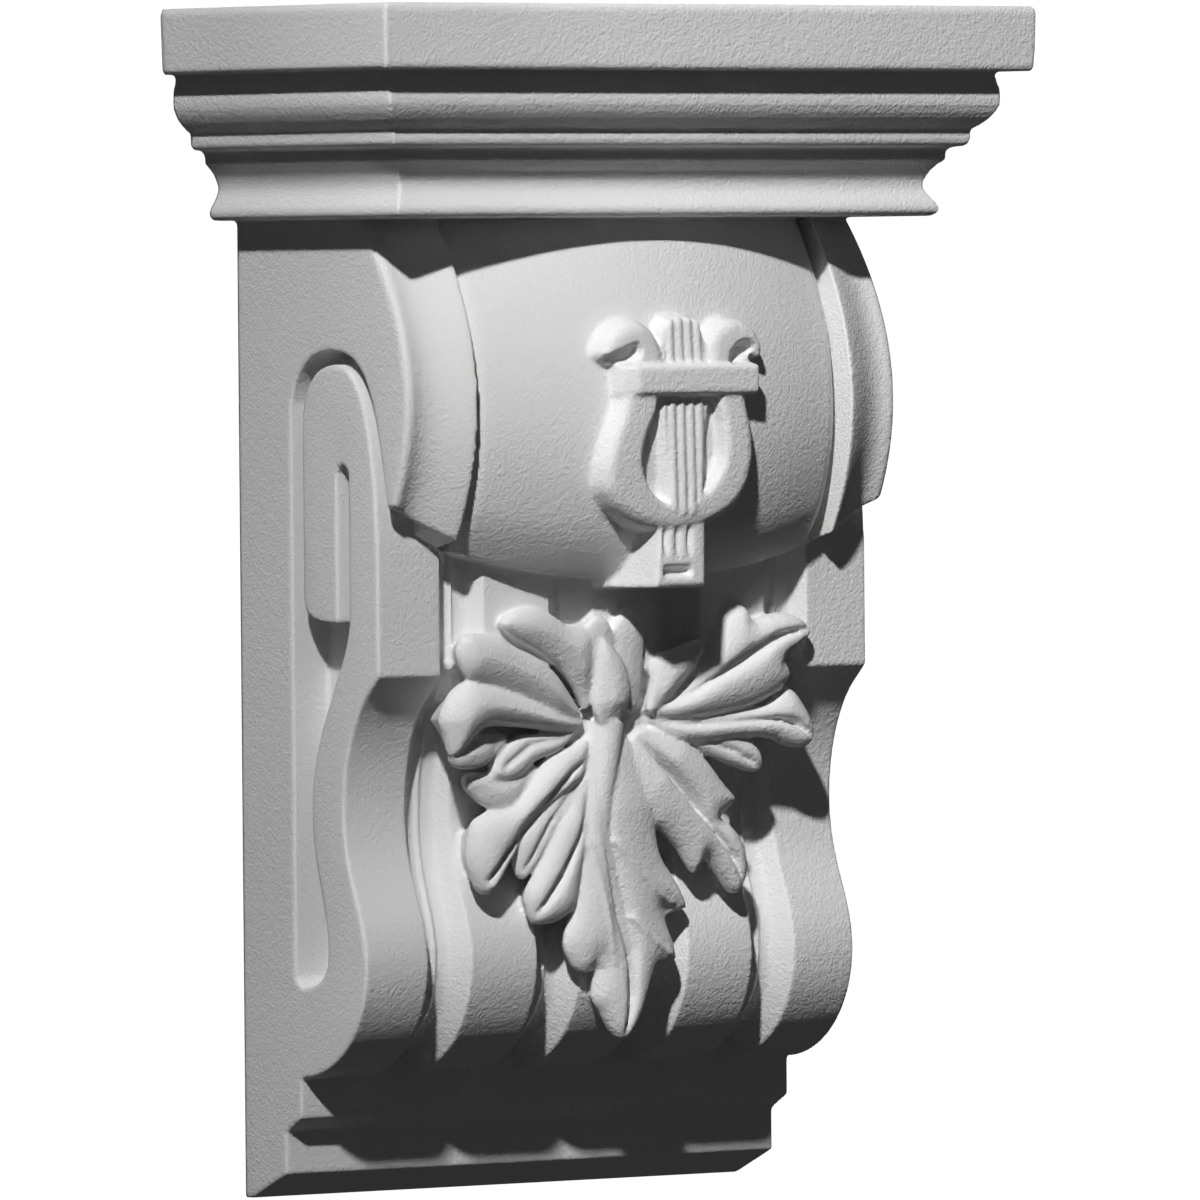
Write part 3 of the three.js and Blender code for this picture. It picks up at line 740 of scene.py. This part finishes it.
def lyreHeights(x, drop):
    run = lyre["leanFoot"] - lyre["leanTop"]
    front = lyre["front"] - lyre["lean"] * np.clip((drop - lyre["leanTop"]) / run, 0, 1) ** 2
    forms = [barrelFront(x, drop) - 3, bowlHeights(x, drop, front), stringHeights(x, drop)]
    forms += [hornHeights(x, drop, front, outline, hollow) for outline, hollow in horns]
    forms.append(barHeights(x, drop, front))
    return np.maximum.reduce(forms)


def makeLyre():
    extent = (lyre["left"], lyre["right"], lyre["top"], lyre["foot"])
    return reliefBlock("lyre", *extent, lyre["step"], lyre["root"], lyreHeights)


# Block under the bowl, with three short grooves at its top and a slot.
lyreFoot = {
    "left": -10,
    "right": 7.2,
    "top": 111,
    "foot": 124.2,
    "back": 2.6,
    "root": 48,
    "step": 0.35,
    "taperTop": 112,
    "taperFoot": 124,
    "frontLeft": (-5.6, -6.7),
    "flankRun": (0.6, 2.2),
    "groundFoot": 121,
    "edge": 0.9,
    "grooves": (-3.9, -0.7, 2.6),
    "grooveFoot": 118,
    "grooveRun": 3.5,
    "grooveHalf": 0.9,
    "grooveDepth": 1.8,
    "slot": (-4.5, 3.1, 119.7, 121.7),
    "slotEdge": 0.35,
    "slotDepth": 2,
}


def lyreFootHeights(x, drop):
    block = lyreFoot
    taper = (block["taperTop"], block["taperFoot"])
    frontLeft = np.interp(drop, taper, block["frontLeft"])
    side = frontLeft - np.interp(drop, taper, block["flankRun"])
    lean = np.clip((frontLeft - x) / (frontLeft - side), 0, 1)
    ground = barrelFront(x, np.minimum(drop, block["groundFoot"])) - 1
    front = lyre["front"] - block["back"]
    height = front + (ground - front) * lean
    edge = np.minimum(block["right"] - x, block["foot"] - drop)
    height = height - edgeRound(np.maximum(edge, 0), block["edge"])
    deep = np.clip((block["grooveFoot"] - drop) / block["grooveRun"], 0, 1)
    for groove in block["grooves"]:
        gap = np.clip(1 - np.abs(x - groove) / block["grooveHalf"], 0, 1)
        height = height - block["grooveDepth"] * gap * deep
    left, right, top, foot = block["slot"]
    slot = np.minimum.reduce([x - left, right - x, drop - top, foot - drop])
    return height - block["slotDepth"] * np.clip(slot / block["slotEdge"] + 0.5, 0, 1)


def makeLyreFoot():
    extent = (lyreFoot["left"], lyreFoot["right"], lyreFoot["top"], lyreFoot["foot"])
    return reliefBlock("lyreFoot", *extent, lyreFoot["step"], lyreFoot["root"], lyreFootHeights)


# Leaf over the hollow: each lobe is an outline with a midrib, and stands at its own depth.
# hump is the rise from the midrib's valley, over the crest, to the edge.
humpShares = [0, 0.05, 0.13, 0.24, 0.38, 0.6, 0.82, 1]
humpHeights = [-0.8, -0.1, 0.65, 0.97, 1, 0.86, 0.54, 0]
domeHeights = [1, 1, 0.99, 0.94, 0.85, 0.66, 0.36, 0]

leafLobes = [
    # standing at the top, behind the bud
    {"root": 47, "tip": 49.2, "rise": 1.2, "dome": True, "midrib": [(-1, 150), (-0.6, 130)], "outline": [
        (-5, 151), (-5.2, 140), (-5.6, 134.5), (-4.2, 131.6), (-1.2, 128.4), (2, 129.8), (4.4, 132.8),
        (4.4, 140), (4, 151),
    ]},
    {"root": 47, "tip": 49.4, "rise": 1, "dome": True, "midrib": [(-8.6, 150), (-9, 132)], "outline": [
        (-13, 138), (-11.8, 131), (-9, 129.9), (-6, 131.4), (-4, 136), (-5, 147), (-12, 146),
    ]},
    # small leaf to the right of it
    {"root": 48, "tip": 50.4, "rise": 2.4, "dome": True,
     "midrib": [(8, 150), (14, 143), (18, 136)], "outline": [
        (5.6, 151.4), (6.6, 145), (7.2, 138.6), (12.4, 137.4), (18.9, 135), (19.6, 137.6), (17.6, 142),
        (13.4, 146.6), (8, 151),
    ]},
    {"root": 47, "tip": 48.6, "rise": 1.6, "dome": True, "midrib": [(14, 149), (20.5, 139)], "outline": [
        (19.2, 135.8), (21.6, 137.8), (23, 142), (20.6, 145.4), (14, 150), (10, 151), (16.6, 144.4),
        (18.8, 140),
    ]},
    # upper right
    {"root": 46.5, "tip": 50, "rise": 3.4,
     "midrib": [(4.8, 151.3), (17.4, 147), (27.6, 141.4), (39.5, 135.2), (48.6, 133.8)], "outline": [
        (5, 150.4), (12, 148), (19, 144), (21.4, 140), (22.8, 137), (25.8, 132.2), (28, 129.2),
        (30.6, 128), (33, 129.6), (33.7, 132.2), (38, 130.8), (42.4, 130.2), (46.6, 131.4), (49.8, 134.2),
        (48.6, 136), (46, 138), (42.6, 140), (43.4, 142.2), (44.6, 143.6), (43, 146.4), (40, 148.4),
        (34, 150.6), (27.4, 151.8), (20, 152.8), (14.8, 153), (9, 152.4),
    ]},
    # right
    {"root": 46, "tip": 48, "rise": 3,
     "midrib": [(6.4, 152.6), (16.5, 154.1), (28.3, 153.7), (41, 153.4), (46, 154.5), (50, 157)], "outline": [
        (6, 151.4), (15.7, 152.4), (28.3, 151.6), (36, 150.8), (40, 149.6), (42.2, 147.4), (43.6, 145.8),
        (46.8, 147.2), (50.2, 151.6), (52, 156.2), (51.4, 158.8), (47.8, 160.2), (43.4, 159),
        (40.8, 157.6), (36, 157.2), (29.9, 157.4), (19.8, 158.4), (12, 157),
    ]},
    {"root": 46, "tip": 46, "rise": 2, "midrib": [(18, 156.4), (30, 160), (38.4, 163.8)], "outline": [
        (16, 154.6), (24, 155.2), (30, 156), (35.4, 157.6), (38.8, 160.4), (39.4, 164.2), (36.6, 165),
        (30, 163.2), (24.8, 161), (19.4, 158.8),
    ]},
    # lower right
    {"root": 46, "tip": 45, "rise": 3.2, "vein": 0.5,
     "midrib": [(3.9, 156.4), (10.5, 162.5), (17.2, 169), (24.6, 176.9), (30.5, 183.6), (33, 189)],
     "outline": [
        (4, 154.4), (10, 155), (16.5, 156.6), (23.5, 161.2), (28.3, 166.6), (33.2, 170.8), (29.4, 172.6),
        (26.2, 174.4), (30.6, 175.8), (34.4, 180.2), (35, 187), (32.8, 191.2), (30.6, 190.6),
        (26.8, 186.2), (23.2, 182.2), (22, 184.6), (20.6, 187), (18.2, 184), (15.6, 180.4), (11, 176.6),
        (8.3, 175.6), (4, 170), (0, 160),
    ]},
    # the long one that hangs
    {"root": 46, "tip": 44.8, "rise": 2.8,
     "midrib": [(-4, 155), (-5.4, 165), (-6.4, 176), (-3, 190), (1, 203), (1.6, 212), (0, 221)], "outline": [
        (-1, 154), (5, 160), (9, 169), (9.8, 178), (11.4, 183), (14.4, 186.2), (17.2, 190), (19.2, 194),
        (15, 193.8), (10.8, 192.8), (12.8, 196.8), (14.8, 201), (15.9, 204.8), (12.6, 205.8),
        (9.6, 205.6), (7.6, 210.6), (5, 217), (0.4, 222.4), (-2.8, 219.8), (-5.6, 215), (-7.8, 212.6),
        (-7.3, 208), (-6.6, 204.2), (-8.4, 206.4), (-10.2, 207), (-12.8, 206), (-15.6, 201.4),
        (-15.4, 198.2), (-12.8, 192.4), (-12, 188), (-11.6, 180), (-11, 172), (-10, 163), (-9, 154),
    ]},
    # lower left, in three
    {"root": 46, "tip": 45, "rise": 2.6,
     "midrib": [(-9.5, 168), (-13, 178), (-18, 186), (-24, 193.5)], "outline": [
        (-9, 163), (-10.5, 178), (-12, 187), (-12.8, 192.8), (-16.5, 195.2), (-20, 196), (-24.6, 195.8),
        (-26.6, 189.6), (-23, 184), (-20.4, 178.8), (-18.8, 175.2), (-15, 170), (-10.4, 164.4),
    ]},
    {"root": 45.5, "tip": 44.2, "rise": 2.2, "midrib": [(-12, 165), (-20, 174), (-26.5, 184)], "outline": [
        (-9, 161), (-17.9, 168.4), (-23, 172), (-28.6, 177), (-29, 180), (-28, 185), (-26.2, 186.8),
        (-22.6, 183), (-18.8, 177), (-13.6, 170),
    ]},
    {"root": 46, "tip": 44, "rise": 3.4,
     "midrib": [(-9, 160.5), (-15, 163.5), (-24, 171.5), (-30, 178), (-36.8, 186)], "outline": [
        (-9, 156), (-13.6, 158), (-21.1, 160.6), (-25.5, 166), (-30.3, 170.8), (-36, 171.4),
        (-40.4, 173.6), (-41.4, 181.5), (-38.6, 188.4), (-36.4, 189.4), (-34.4, 188.6), (-32, 184.6),
        (-28.4, 179.6), (-27.4, 175.4), (-17.9, 168.8), (-10.4, 164.6),
    ]},
    # left, rolled over at its end
    {"root": 46.5, "tip": 49, "rise": 3.8, "dome": True,
     "midrib": [(-12, 153), (-25, 150.6), (-38, 147.8), (-46.5, 150)], "outline": [
        (-10.6, 152), (-17, 151), (-25.9, 147.8), (-33, 145.6), (-39.1, 144), (-44.8, 143),
        (-49.4, 145.6), (-52.6, 151.2), (-50.9, 155.5), (-49.4, 160), (-46, 158.2), (-43.3, 155.4),
        (-39.2, 153), (-29.3, 153.6), (-20, 154.6), (-12, 154.6),
    ]},
    {"root": 46, "tip": 45.5, "rise": 2, "midrib": [(-14, 156), (-26, 157.4), (-33, 162)], "outline": [
        (-12, 154.8), (-20, 155), (-28.5, 155.2), (-34.4, 159), (-36.4, 164), (-32, 165.2),
        (-28.4, 164.4), (-24.2, 161), (-17, 158.8),
    ]},
    {"root": 46, "tip": 48, "rise": 1.6, "dome": True,
     "midrib": [(-36, 156.6), (-46.6, 159.4)], "outline": [
        (-30, 154.6), (-43.3, 155), (-49.6, 159.4), (-47.4, 162), (-41, 162.4), (-35.6, 160.6),
    ]},
    {"root": 45, "tip": 44.5, "rise": 1.6, "dome": True, "midrib": [(-26, 164), (-40, 167)], "outline": [
        (-22, 161), (-30, 164), (-42, 162.6), (-42.6, 166), (-37, 170.6), (-30.4, 171.8), (-26.6, 168),
    ]},
    # upper left: an upper and a lower blade
    {"root": 47.5, "tip": 50, "rise": 2.6, "dome": True,
     "midrib": [(-11, 148), (-17, 138), (-25, 132.4), (-34, 131.2)], "outline": [
        (-10.8, 151.2), (-14, 146.4), (-19.2, 141), (-24, 138.2), (-29.1, 136), (-33, 134.2),
        (-36.8, 131.6), (-35, 129.6), (-31.5, 128.4), (-27.3, 127.8), (-22.4, 129.2), (-17.5, 132),
        (-12.6, 131.6), (-9.4, 134), (-9.6, 141), (-10, 148),
    ]},
    {"root": 47, "tip": 50, "rise": 3, "dome": True,
     "midrib": [(-12, 150.8), (-22, 144.6), (-34, 139.4), (-46, 137)], "outline": [
        (-11, 152), (-15, 147.4), (-20, 142), (-25, 138.8), (-31, 136.6), (-36, 134.2), (-41, 133.2),
        (-47.4, 133.2), (-48.4, 138), (-46, 143), (-39, 144.2), (-32.5, 146), (-25.9, 148.2),
        (-18, 151.8),
    ]},
    # mound in the middle, under the roots of the others
    {"root": 43.6, "tip": 43.6, "rise": 1.6, "dome": True, "midrib": [(-4, 148), (-3, 162)], "outline": [
        (-15, 150), (-8, 144), (2, 144), (11, 149), (10, 158), (3, 167), (-6, 168), (-13, 160),
    ]},
]

leafShell = {
    "rim": 1.5,
    "edge": 0.6,
    "round": 120,
    "steps": 14,
    "deepest": 28,
    "undercut": (1, 0.18),
    "riseWidth": 4,
    "riseAtRoot": 0.3,
    "riseRun": 3,
    "veinWidth": 0.6,
}

# The stem: x, drop, half width and crown.
leafStem = [
    (-4.2, 153, 4.2, 49.2), (-5, 160, 3.4, 49), (-6.2, 168, 2.8, 48.4), (-6.8, 176, 2.9, 47.8),
    (-4.6, 184, 2.6, 47.2), (-1.6, 193, 2, 46.8), (1.2, 202, 1.4, 46.4), (2.6, 209, 0.7, 46),
]
leafBud = {
    "root": 48.6, "tip": 49.6, "rise": 2.6, "dome": True, "midrib": [(-5, 152), (-4.6, 146), (-7, 138)],
    "outline": [(-9.3, 133.8), (-5, 137.2), (-1.5, 141.2), (0, 146), (-0.8, 150.6), (-4.4, 154), (-8, 153.4),
                (-9.9, 150), (-9.6, 143.8), (-9.6, 138)],
}
# Raised veins of the long lobe.
leafVeins = [
    [(-4.2, 178), (2, 184.6), (8, 190), (14, 192.4)],
    [(0.6, 194.5), (5, 198.6), (9, 201.4), (13, 203.6)],
    [(-10.6, 177.6), (-8.4, 185), (-6.4, 193), (-5, 199), (-3.6, 205)],
]
veinSize = {"half": 0.9, "proud": 0.5, "deep": 2}
rod = {"columns": 12, "rows": 60, "nearby": 0.02, "stemDeep": 9}
longLobe = 8


def onLine(place, line):
    # the point at a share of a line's own length
    line = np.array(line, float)
    reach = np.concatenate(([0], np.cumsum(np.linalg.norm(np.diff(line, axis=0), axis=1))))
    return [np.interp(place * reach[-1], reach, line[:, k]) for k in range(line.shape[1])]


def lobeFace(lobe, x, drop):
    inside = np.maximum(insideBy(x, drop, lobe["outline"]), 0)
    toMidrib, place = distanceToLine(x, drop, lobe["midrib"])
    edge = lobe["root"] + (lobe["tip"] - lobe["root"]) * place
    share = toMidrib / np.maximum(inside + toMidrib, 1e-3)
    hump = np.interp(share, humpShares, domeHeights if lobe.get("dome") else humpHeights)
    rise = lobe["rise"] * np.tanh((inside + toMidrib) / leafShell["riseWidth"])
    rise = rise * np.clip(leafShell["riseAtRoot"] + leafShell["riseRun"] * place, 0, 1)
    face = edge + rise * hump - edgeRound(inside, leafShell["edge"])
    if lobe.get("vein"):
        face = face + lobe["vein"] * np.exp(-((toMidrib / leafShell["veinWidth"]) ** 2))
    slope, bend = leafShell["undercut"]
    back = edge - leafShell["rim"] - inside * (slope + bend * inside)
    return face, np.maximum(back, leafShell["deepest"])


def makeLobe(lobe):
    # rows of vertices run from the midrib out to the outline, and the back is undercut
    outline = softened(lobe["outline"])
    loop = evenly(np.vstack((outline, outline[:1])), leafShell["round"] + 1)
    _, place = distanceToLine(loop[:, 0], loop[:, 1], lobe["midrib"])
    ribX, ribDrop = onLine(place, lobe["midrib"])

    def shape(u, v, back):
        k = np.rint(u * leafShell["round"]).astype(int)
        x = ribX[k] + (loop[k, 0] - ribX[k]) * v
        drop = ribDrop[k] + (loop[k, 1] - ribDrop[k]) * v
        face, under = lobeFace(lobe, x, drop)
        return x, np.where(back, under, face), drop

    return shapedBlock("lobe", leafShell["round"], leafShell["steps"], shape)


def makeRod(name, line, half, crown, deep):
    # a rounded ridge along a line; half and crown are worked out at each place
    def shape(u, v, back):
        x, drop = onLine(v, line)
        nextX, nextDrop = onLine(np.clip(v + rod["nearby"], 0, 1), line)
        lastX, lastDrop = onLine(np.clip(v - rod["nearby"], 0, 1), line)
        length = np.hypot(nextX - lastX, nextDrop - lastDrop)
        across = (2 * u - 1) * half(v)
        top = crown(v, x, drop) - half(v) * (1 - np.sqrt(1 - (2 * u - 1) ** 2 * 0.999))
        x = x + across * (nextDrop - lastDrop) / length
        drop = drop - across * (nextX - lastX) / length
        return x, np.where(back, top - deep, top), drop

    return shapedBlock(name, rod["columns"], rod["rows"], shape)


def makeLeaf():
    stem = np.array(leafStem)
    steps = np.linspace(0, 1, len(stem))

    def stemHalf(v):
        return np.interp(v, steps, stem[:, 2])

    def stemCrown(v, x, drop):
        return np.interp(v, steps, stem[:, 3])

    def veinHalf(v):
        return veinSize["half"] * (1 - 0.5 * v)

    def veinCrown(v, x, drop):
        return lobeFace(leafLobes[longLobe], x, drop)[0] + veinSize["proud"]

    pieces = [makeLobe(lobe) for lobe in [*leafLobes, leafBud]]
    pieces.append(makeRod("stem", stem[:, :2], stemHalf, stemCrown, rod["stemDeep"]))
    pieces += [makeRod("vein", vein, veinHalf, veinCrown, veinSize["deep"]) for vein in leafVeins]
    return pieces


# Casting: the parts are joined and drawn over with one skin, soft at every edge.
casting = {"voxel": 0.5, "roughVoxel": 0.9, "smoothing": 4, "triangles": 190000, "backReach": 0.6}


def castInOne(pieces):
    clearSelection()
    for piece in pieces:
        piece.select_set(True)
    whole = pieces[0]
    bpy.context.view_layer.objects.active = whole
    bpy.ops.object.join()
    whole.name = "corbelCasting"
    voxel = casting["voxel"]
    finishWith(whole, "REMESH", mode="VOXEL", voxel_size=voxel * mm, adaptivity=0)
    print("remeshed to", len(whole.data.polygons), "faces")
    finishWith(whole, "SMOOTH", factor=0.5, iterations=casting["smoothing"])
    keepInBox(whole)
    share = casting["triangles"] / (2 * len(whole.data.polygons))
    if share < 1:
        finishWith(whole, "DECIMATE", ratio=share)
    pickOnly(whole)
    bpy.ops.object.shade_smooth()
    print("casting has", len(whole.data.polygons), "faces")
    return whole


def keepInBox(whole):
    # The back stays flat on the wall, and nothing passes the CAD model's own box.
    places = vertexPlaces(whole)
    low, high = np.array(cadBox[0]), np.array(cadBox[1])
    places = np.clip(places, low, high)
    onBack = places[:, 1] > -casting["backReach"] * mm
    places[onBack, 1] = 0
    whole.data.vertices.foreach_set("co", places.ravel())
    whole.data.update()


# Finish: white primer with a fine orange-peel skin.
class Signal:
    # A shader socket that can be used in sums, differences and products.

    def __init__(self, nodes, links, socket):
        self.nodes = nodes
        self.links = links
        self.socket = socket

    def combine(self, operation, first, second):
        node = self.nodes.new("ShaderNodeMath")
        node.operation = operation
        for index, value in enumerate((first, second)):
            if isinstance(value, Signal):
                self.links.new(value.socket, node.inputs[index])
            else:
                node.inputs[index].default_value = value
        return Signal(self.nodes, self.links, node.outputs[0])

    def __add__(self, other):
        return self.combine("ADD", self, other)

    def __radd__(self, other):
        return self.combine("ADD", other, self)

    def __sub__(self, other):
        return self.combine("SUBTRACT", self, other)

    def __rsub__(self, other):
        return self.combine("SUBTRACT", other, self)

    def __mul__(self, other):
        return self.combine("MULTIPLY", self, other)

    def __rmul__(self, other):
        return self.combine("MULTIPLY", other, self)


class Finish:
    # A material whose nodes are added one by one.

    def __init__(self, name):
        self.material = bpy.data.materials.new(name)
        self.material.use_nodes = True
        self.nodes = self.material.node_tree.nodes
        self.links = self.material.node_tree.links
        self.surface = self.nodes["Principled BSDF"]

    def node(self, kind, settings=None, values=None, output=0):
        made = self.nodes.new(kind)
        for name, value in (settings or {}).items():
            setattr(made, name, value)
        for name, value in (values or {}).items():
            self.connect(made.inputs[name], value)
        return Signal(self.nodes, self.links, made.outputs[output])

    def connect(self, socket, value):
        if isinstance(value, Signal):
            self.links.new(value.socket, socket)
        else:
            socket.default_value = value

    def feed(self, name, value):
        self.connect(self.surface.inputs[name], value)


primer = {
    "colour": (0.8, 0.8, 0.8, 1),
    "dust": (0.72, 0.72, 0.715, 1),
    "roughness": 0.62,
    "peelScale": 1500,
    "peelHeight": 0.00022,
    "coarseScale": 700,
    "coarseShare": 0.8,
    "cloudScale": 26,
    "roughnessChange": 0.1,
}


def primerFinish():
    finish = Finish("whitePrimer")
    place = finish.node("ShaderNodeTexCoord", output=3)
    fine = {"Vector": place, "Scale": primer["peelScale"], "Detail": 3, "Roughness": 0.55}
    peel = finish.node("ShaderNodeTexNoise", {}, fine)
    bumpy = {"Vector": place, "Scale": primer["coarseScale"], "Detail": 2}
    coarse = finish.node("ShaderNodeTexNoise", {}, bumpy)
    cloudy = {"Vector": place, "Scale": primer["cloudScale"], "Detail": 3}
    cloud = finish.node("ShaderNodeTexNoise", {}, cloudy)
    mixed = finish.node(
        "ShaderNodeMix",
        {"data_type": "RGBA"},
        {"Factor": cloud, "A": primer["colour"], "B": primer["dust"]},
        output=2,
    )
    finish.feed("Base Color", mixed)
    finish.feed("Roughness", primer["roughness"] + primer["roughnessChange"] * (coarse - 0.5))
    finish.feed("Specular IOR Level", 0.25)
    relief = peel + primer["coarseShare"] * coarse
    bumps = {"Height": relief, "Strength": 1, "Distance": primer["peelHeight"]}
    bump = finish.node("ShaderNodeBump", {}, bumps)
    finish.feed("Normal", bump)
    return finish.material


stageSize = {"floorDrop": 0.9, "reach": 9}


def makeStage():
    # A pale floor and a backdrop all round it. Both show white and throw no light back.
    paint = Finish("paleStage")
    paint.feed("Base Color", (0.9, 0.9, 0.9, 1))
    paint.feed("Emission Color", (1, 1, 1, 1))
    paint.feed("Emission Strength", 1)
    paint.feed("Roughness", 1)
    reach = stageSize["reach"]
    floorLevel = cadBox[0].z - stageSize["floorDrop"]
    clearSelection()
    bpy.ops.mesh.primitive_plane_add(size=2 * reach, location=(0, 0, floorLevel))
    bpy.context.object.name = "floor"
    clearSelection()
    bpy.ops.mesh.primitive_uv_sphere_add(segments=48, ring_count=24, radius=reach)
    bpy.context.object.name = "backdrop"
    for name in ("floor", "backdrop"):
        piece = bpy.data.objects[name]
        piece.data.materials.append(paint.material)
        piece.visible_diffuse = False
        piece.visible_glossy = False
        piece.visible_shadow = False


# Camera, as the photograph was taken, and the studio's lights.
view = {
    "azimuth": -39.54,
    "elevation": 1.05,
    "roll": -0.5,
    "distance": 3.422,
    "lens": 480.3,
    "target": (-0.0093, -0.05, 0.0002),
}
studio = {
    "keyAzimuth": -48.5,
    "keyElevation": 38.2,
    "keyDistance": 1.8,
    "keySize": 0.09,
    "keyPower": 145,
    "sideShare": 0.67,
    "fillStrength": 0.035,
    "backAzimuth": 142,
    "backElevation": 16,
    "backPower": 62,
    "cone": 30,
    "coneBlend": 0.2,
    "edgeReach": 1.5,
    "edgeBlend": 0.01,
}


def direction(azimuth, elevation):
    # Unit vector from the object out to a place round it.
    a, e = math.radians(azimuth), math.radians(elevation)
    return Vector((math.sin(a) * math.cos(e), -math.cos(a) * math.cos(e), math.sin(e)))


def makeCamera():
    out = direction(view["azimuth"], view["elevation"])
    bpy.ops.object.camera_add(location=Vector(view["target"]) + out * view["distance"])
    camera = bpy.context.object
    camera.name = "photoCamera"
    turn = (-out).to_track_quat("-Z", "Y").to_matrix()
    roll = math.radians(view["roll"])
    right, up, back = turn.col[0].copy(), turn.col[1].copy(), turn.col[2].copy()
    newRight = right * math.cos(roll) + up * math.sin(roll)
    newUp = up * math.cos(roll) - right * math.sin(roll)
    turn.col[0], turn.col[1], turn.col[2] = newRight, newUp, back
    camera.rotation_euler = turn.to_euler()
    camera.data.lens = view["lens"]
    camera.data.sensor_width = 36
    camera.data.clip_end = 50
    bpy.context.scene.camera = camera


def addSpot(name, place, aim, radius):
    bpy.ops.object.light_add(type="SPOT", location=place)
    light = bpy.context.object
    light.name = name
    light.data.shadow_soft_size = radius
    light.rotation_euler = (place - aim).to_track_quat("Z", "Y").to_euler()
    return light.data


def makeLights():
    # One soft key. A share of it is a wide spot whose edge leaves the left side darker.
    centre = Vector((0, 0, 0))
    out = direction(studio["keyAzimuth"], studio["keyElevation"])
    place = Vector(view["target"]) + out * studio["keyDistance"]
    across = Vector((0, 0, 1)).cross(out).normalized()
    key = addSpot("key", place, centre, studio["keySize"] / 2)
    key.energy = studio["keyPower"] * studio["sideShare"]
    key.spot_size = math.radians(studio["cone"])
    key.spot_blend = studio["coneBlend"]
    edge = addSpot("keyEdge", place, across * studio["edgeReach"], studio["keySize"] / 2)
    edge.energy = studio["keyPower"] * (1 - studio["sideShare"])
    edge.spot_size = 2 * math.atan(studio["edgeReach"] / studio["keyDistance"])
    edge.spot_blend = studio["edgeBlend"]
    # a second soft light from behind reaches only the back, the top and the right side
    outBehind = direction(studio["backAzimuth"], studio["backElevation"])
    behind = Vector(view["target"]) + outBehind * studio["keyDistance"]
    back = addSpot("backLight", behind, centre, studio["keySize"])
    back.energy = studio["backPower"]
    back.spot_size = key.spot_size
    world = bpy.data.worlds.new("studio")
    bpy.context.scene.world = world
    world.use_nodes = True
    fill = world.node_tree.nodes["Background"]
    fill.inputs["Color"].default_value = (1, 1, 1, 1)
    fill.inputs["Strength"].default_value = studio["fillStrength"]
    bpy.context.scene.view_settings.view_transform = "Standard"


bodyPiece = makeBody()
scrollEnds = [makeScrollEnd("scrollLeft", -1), makeScrollEnd("scrollRight", 1)]
print("body and scroll ends are shaped")
cutSides([bodyPiece, *scrollEnds])
print("side recesses are cut")
parts = [makeSlab(), makeMouldings(), bodyPiece, makeBase(), makeBarrel(), *scrollEnds]
parts += [makeLyre(), makeLyreFoot()]
parts += makeLeaf()
print("cap, barrel, lyre and leaf are shaped")
whole = castInOne(parts)
whole.data.materials.clear()
whole.data.materials.append(primerFinish())
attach(whole, "root")
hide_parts("corbel")
makeStage()
makeCamera()
makeLights()
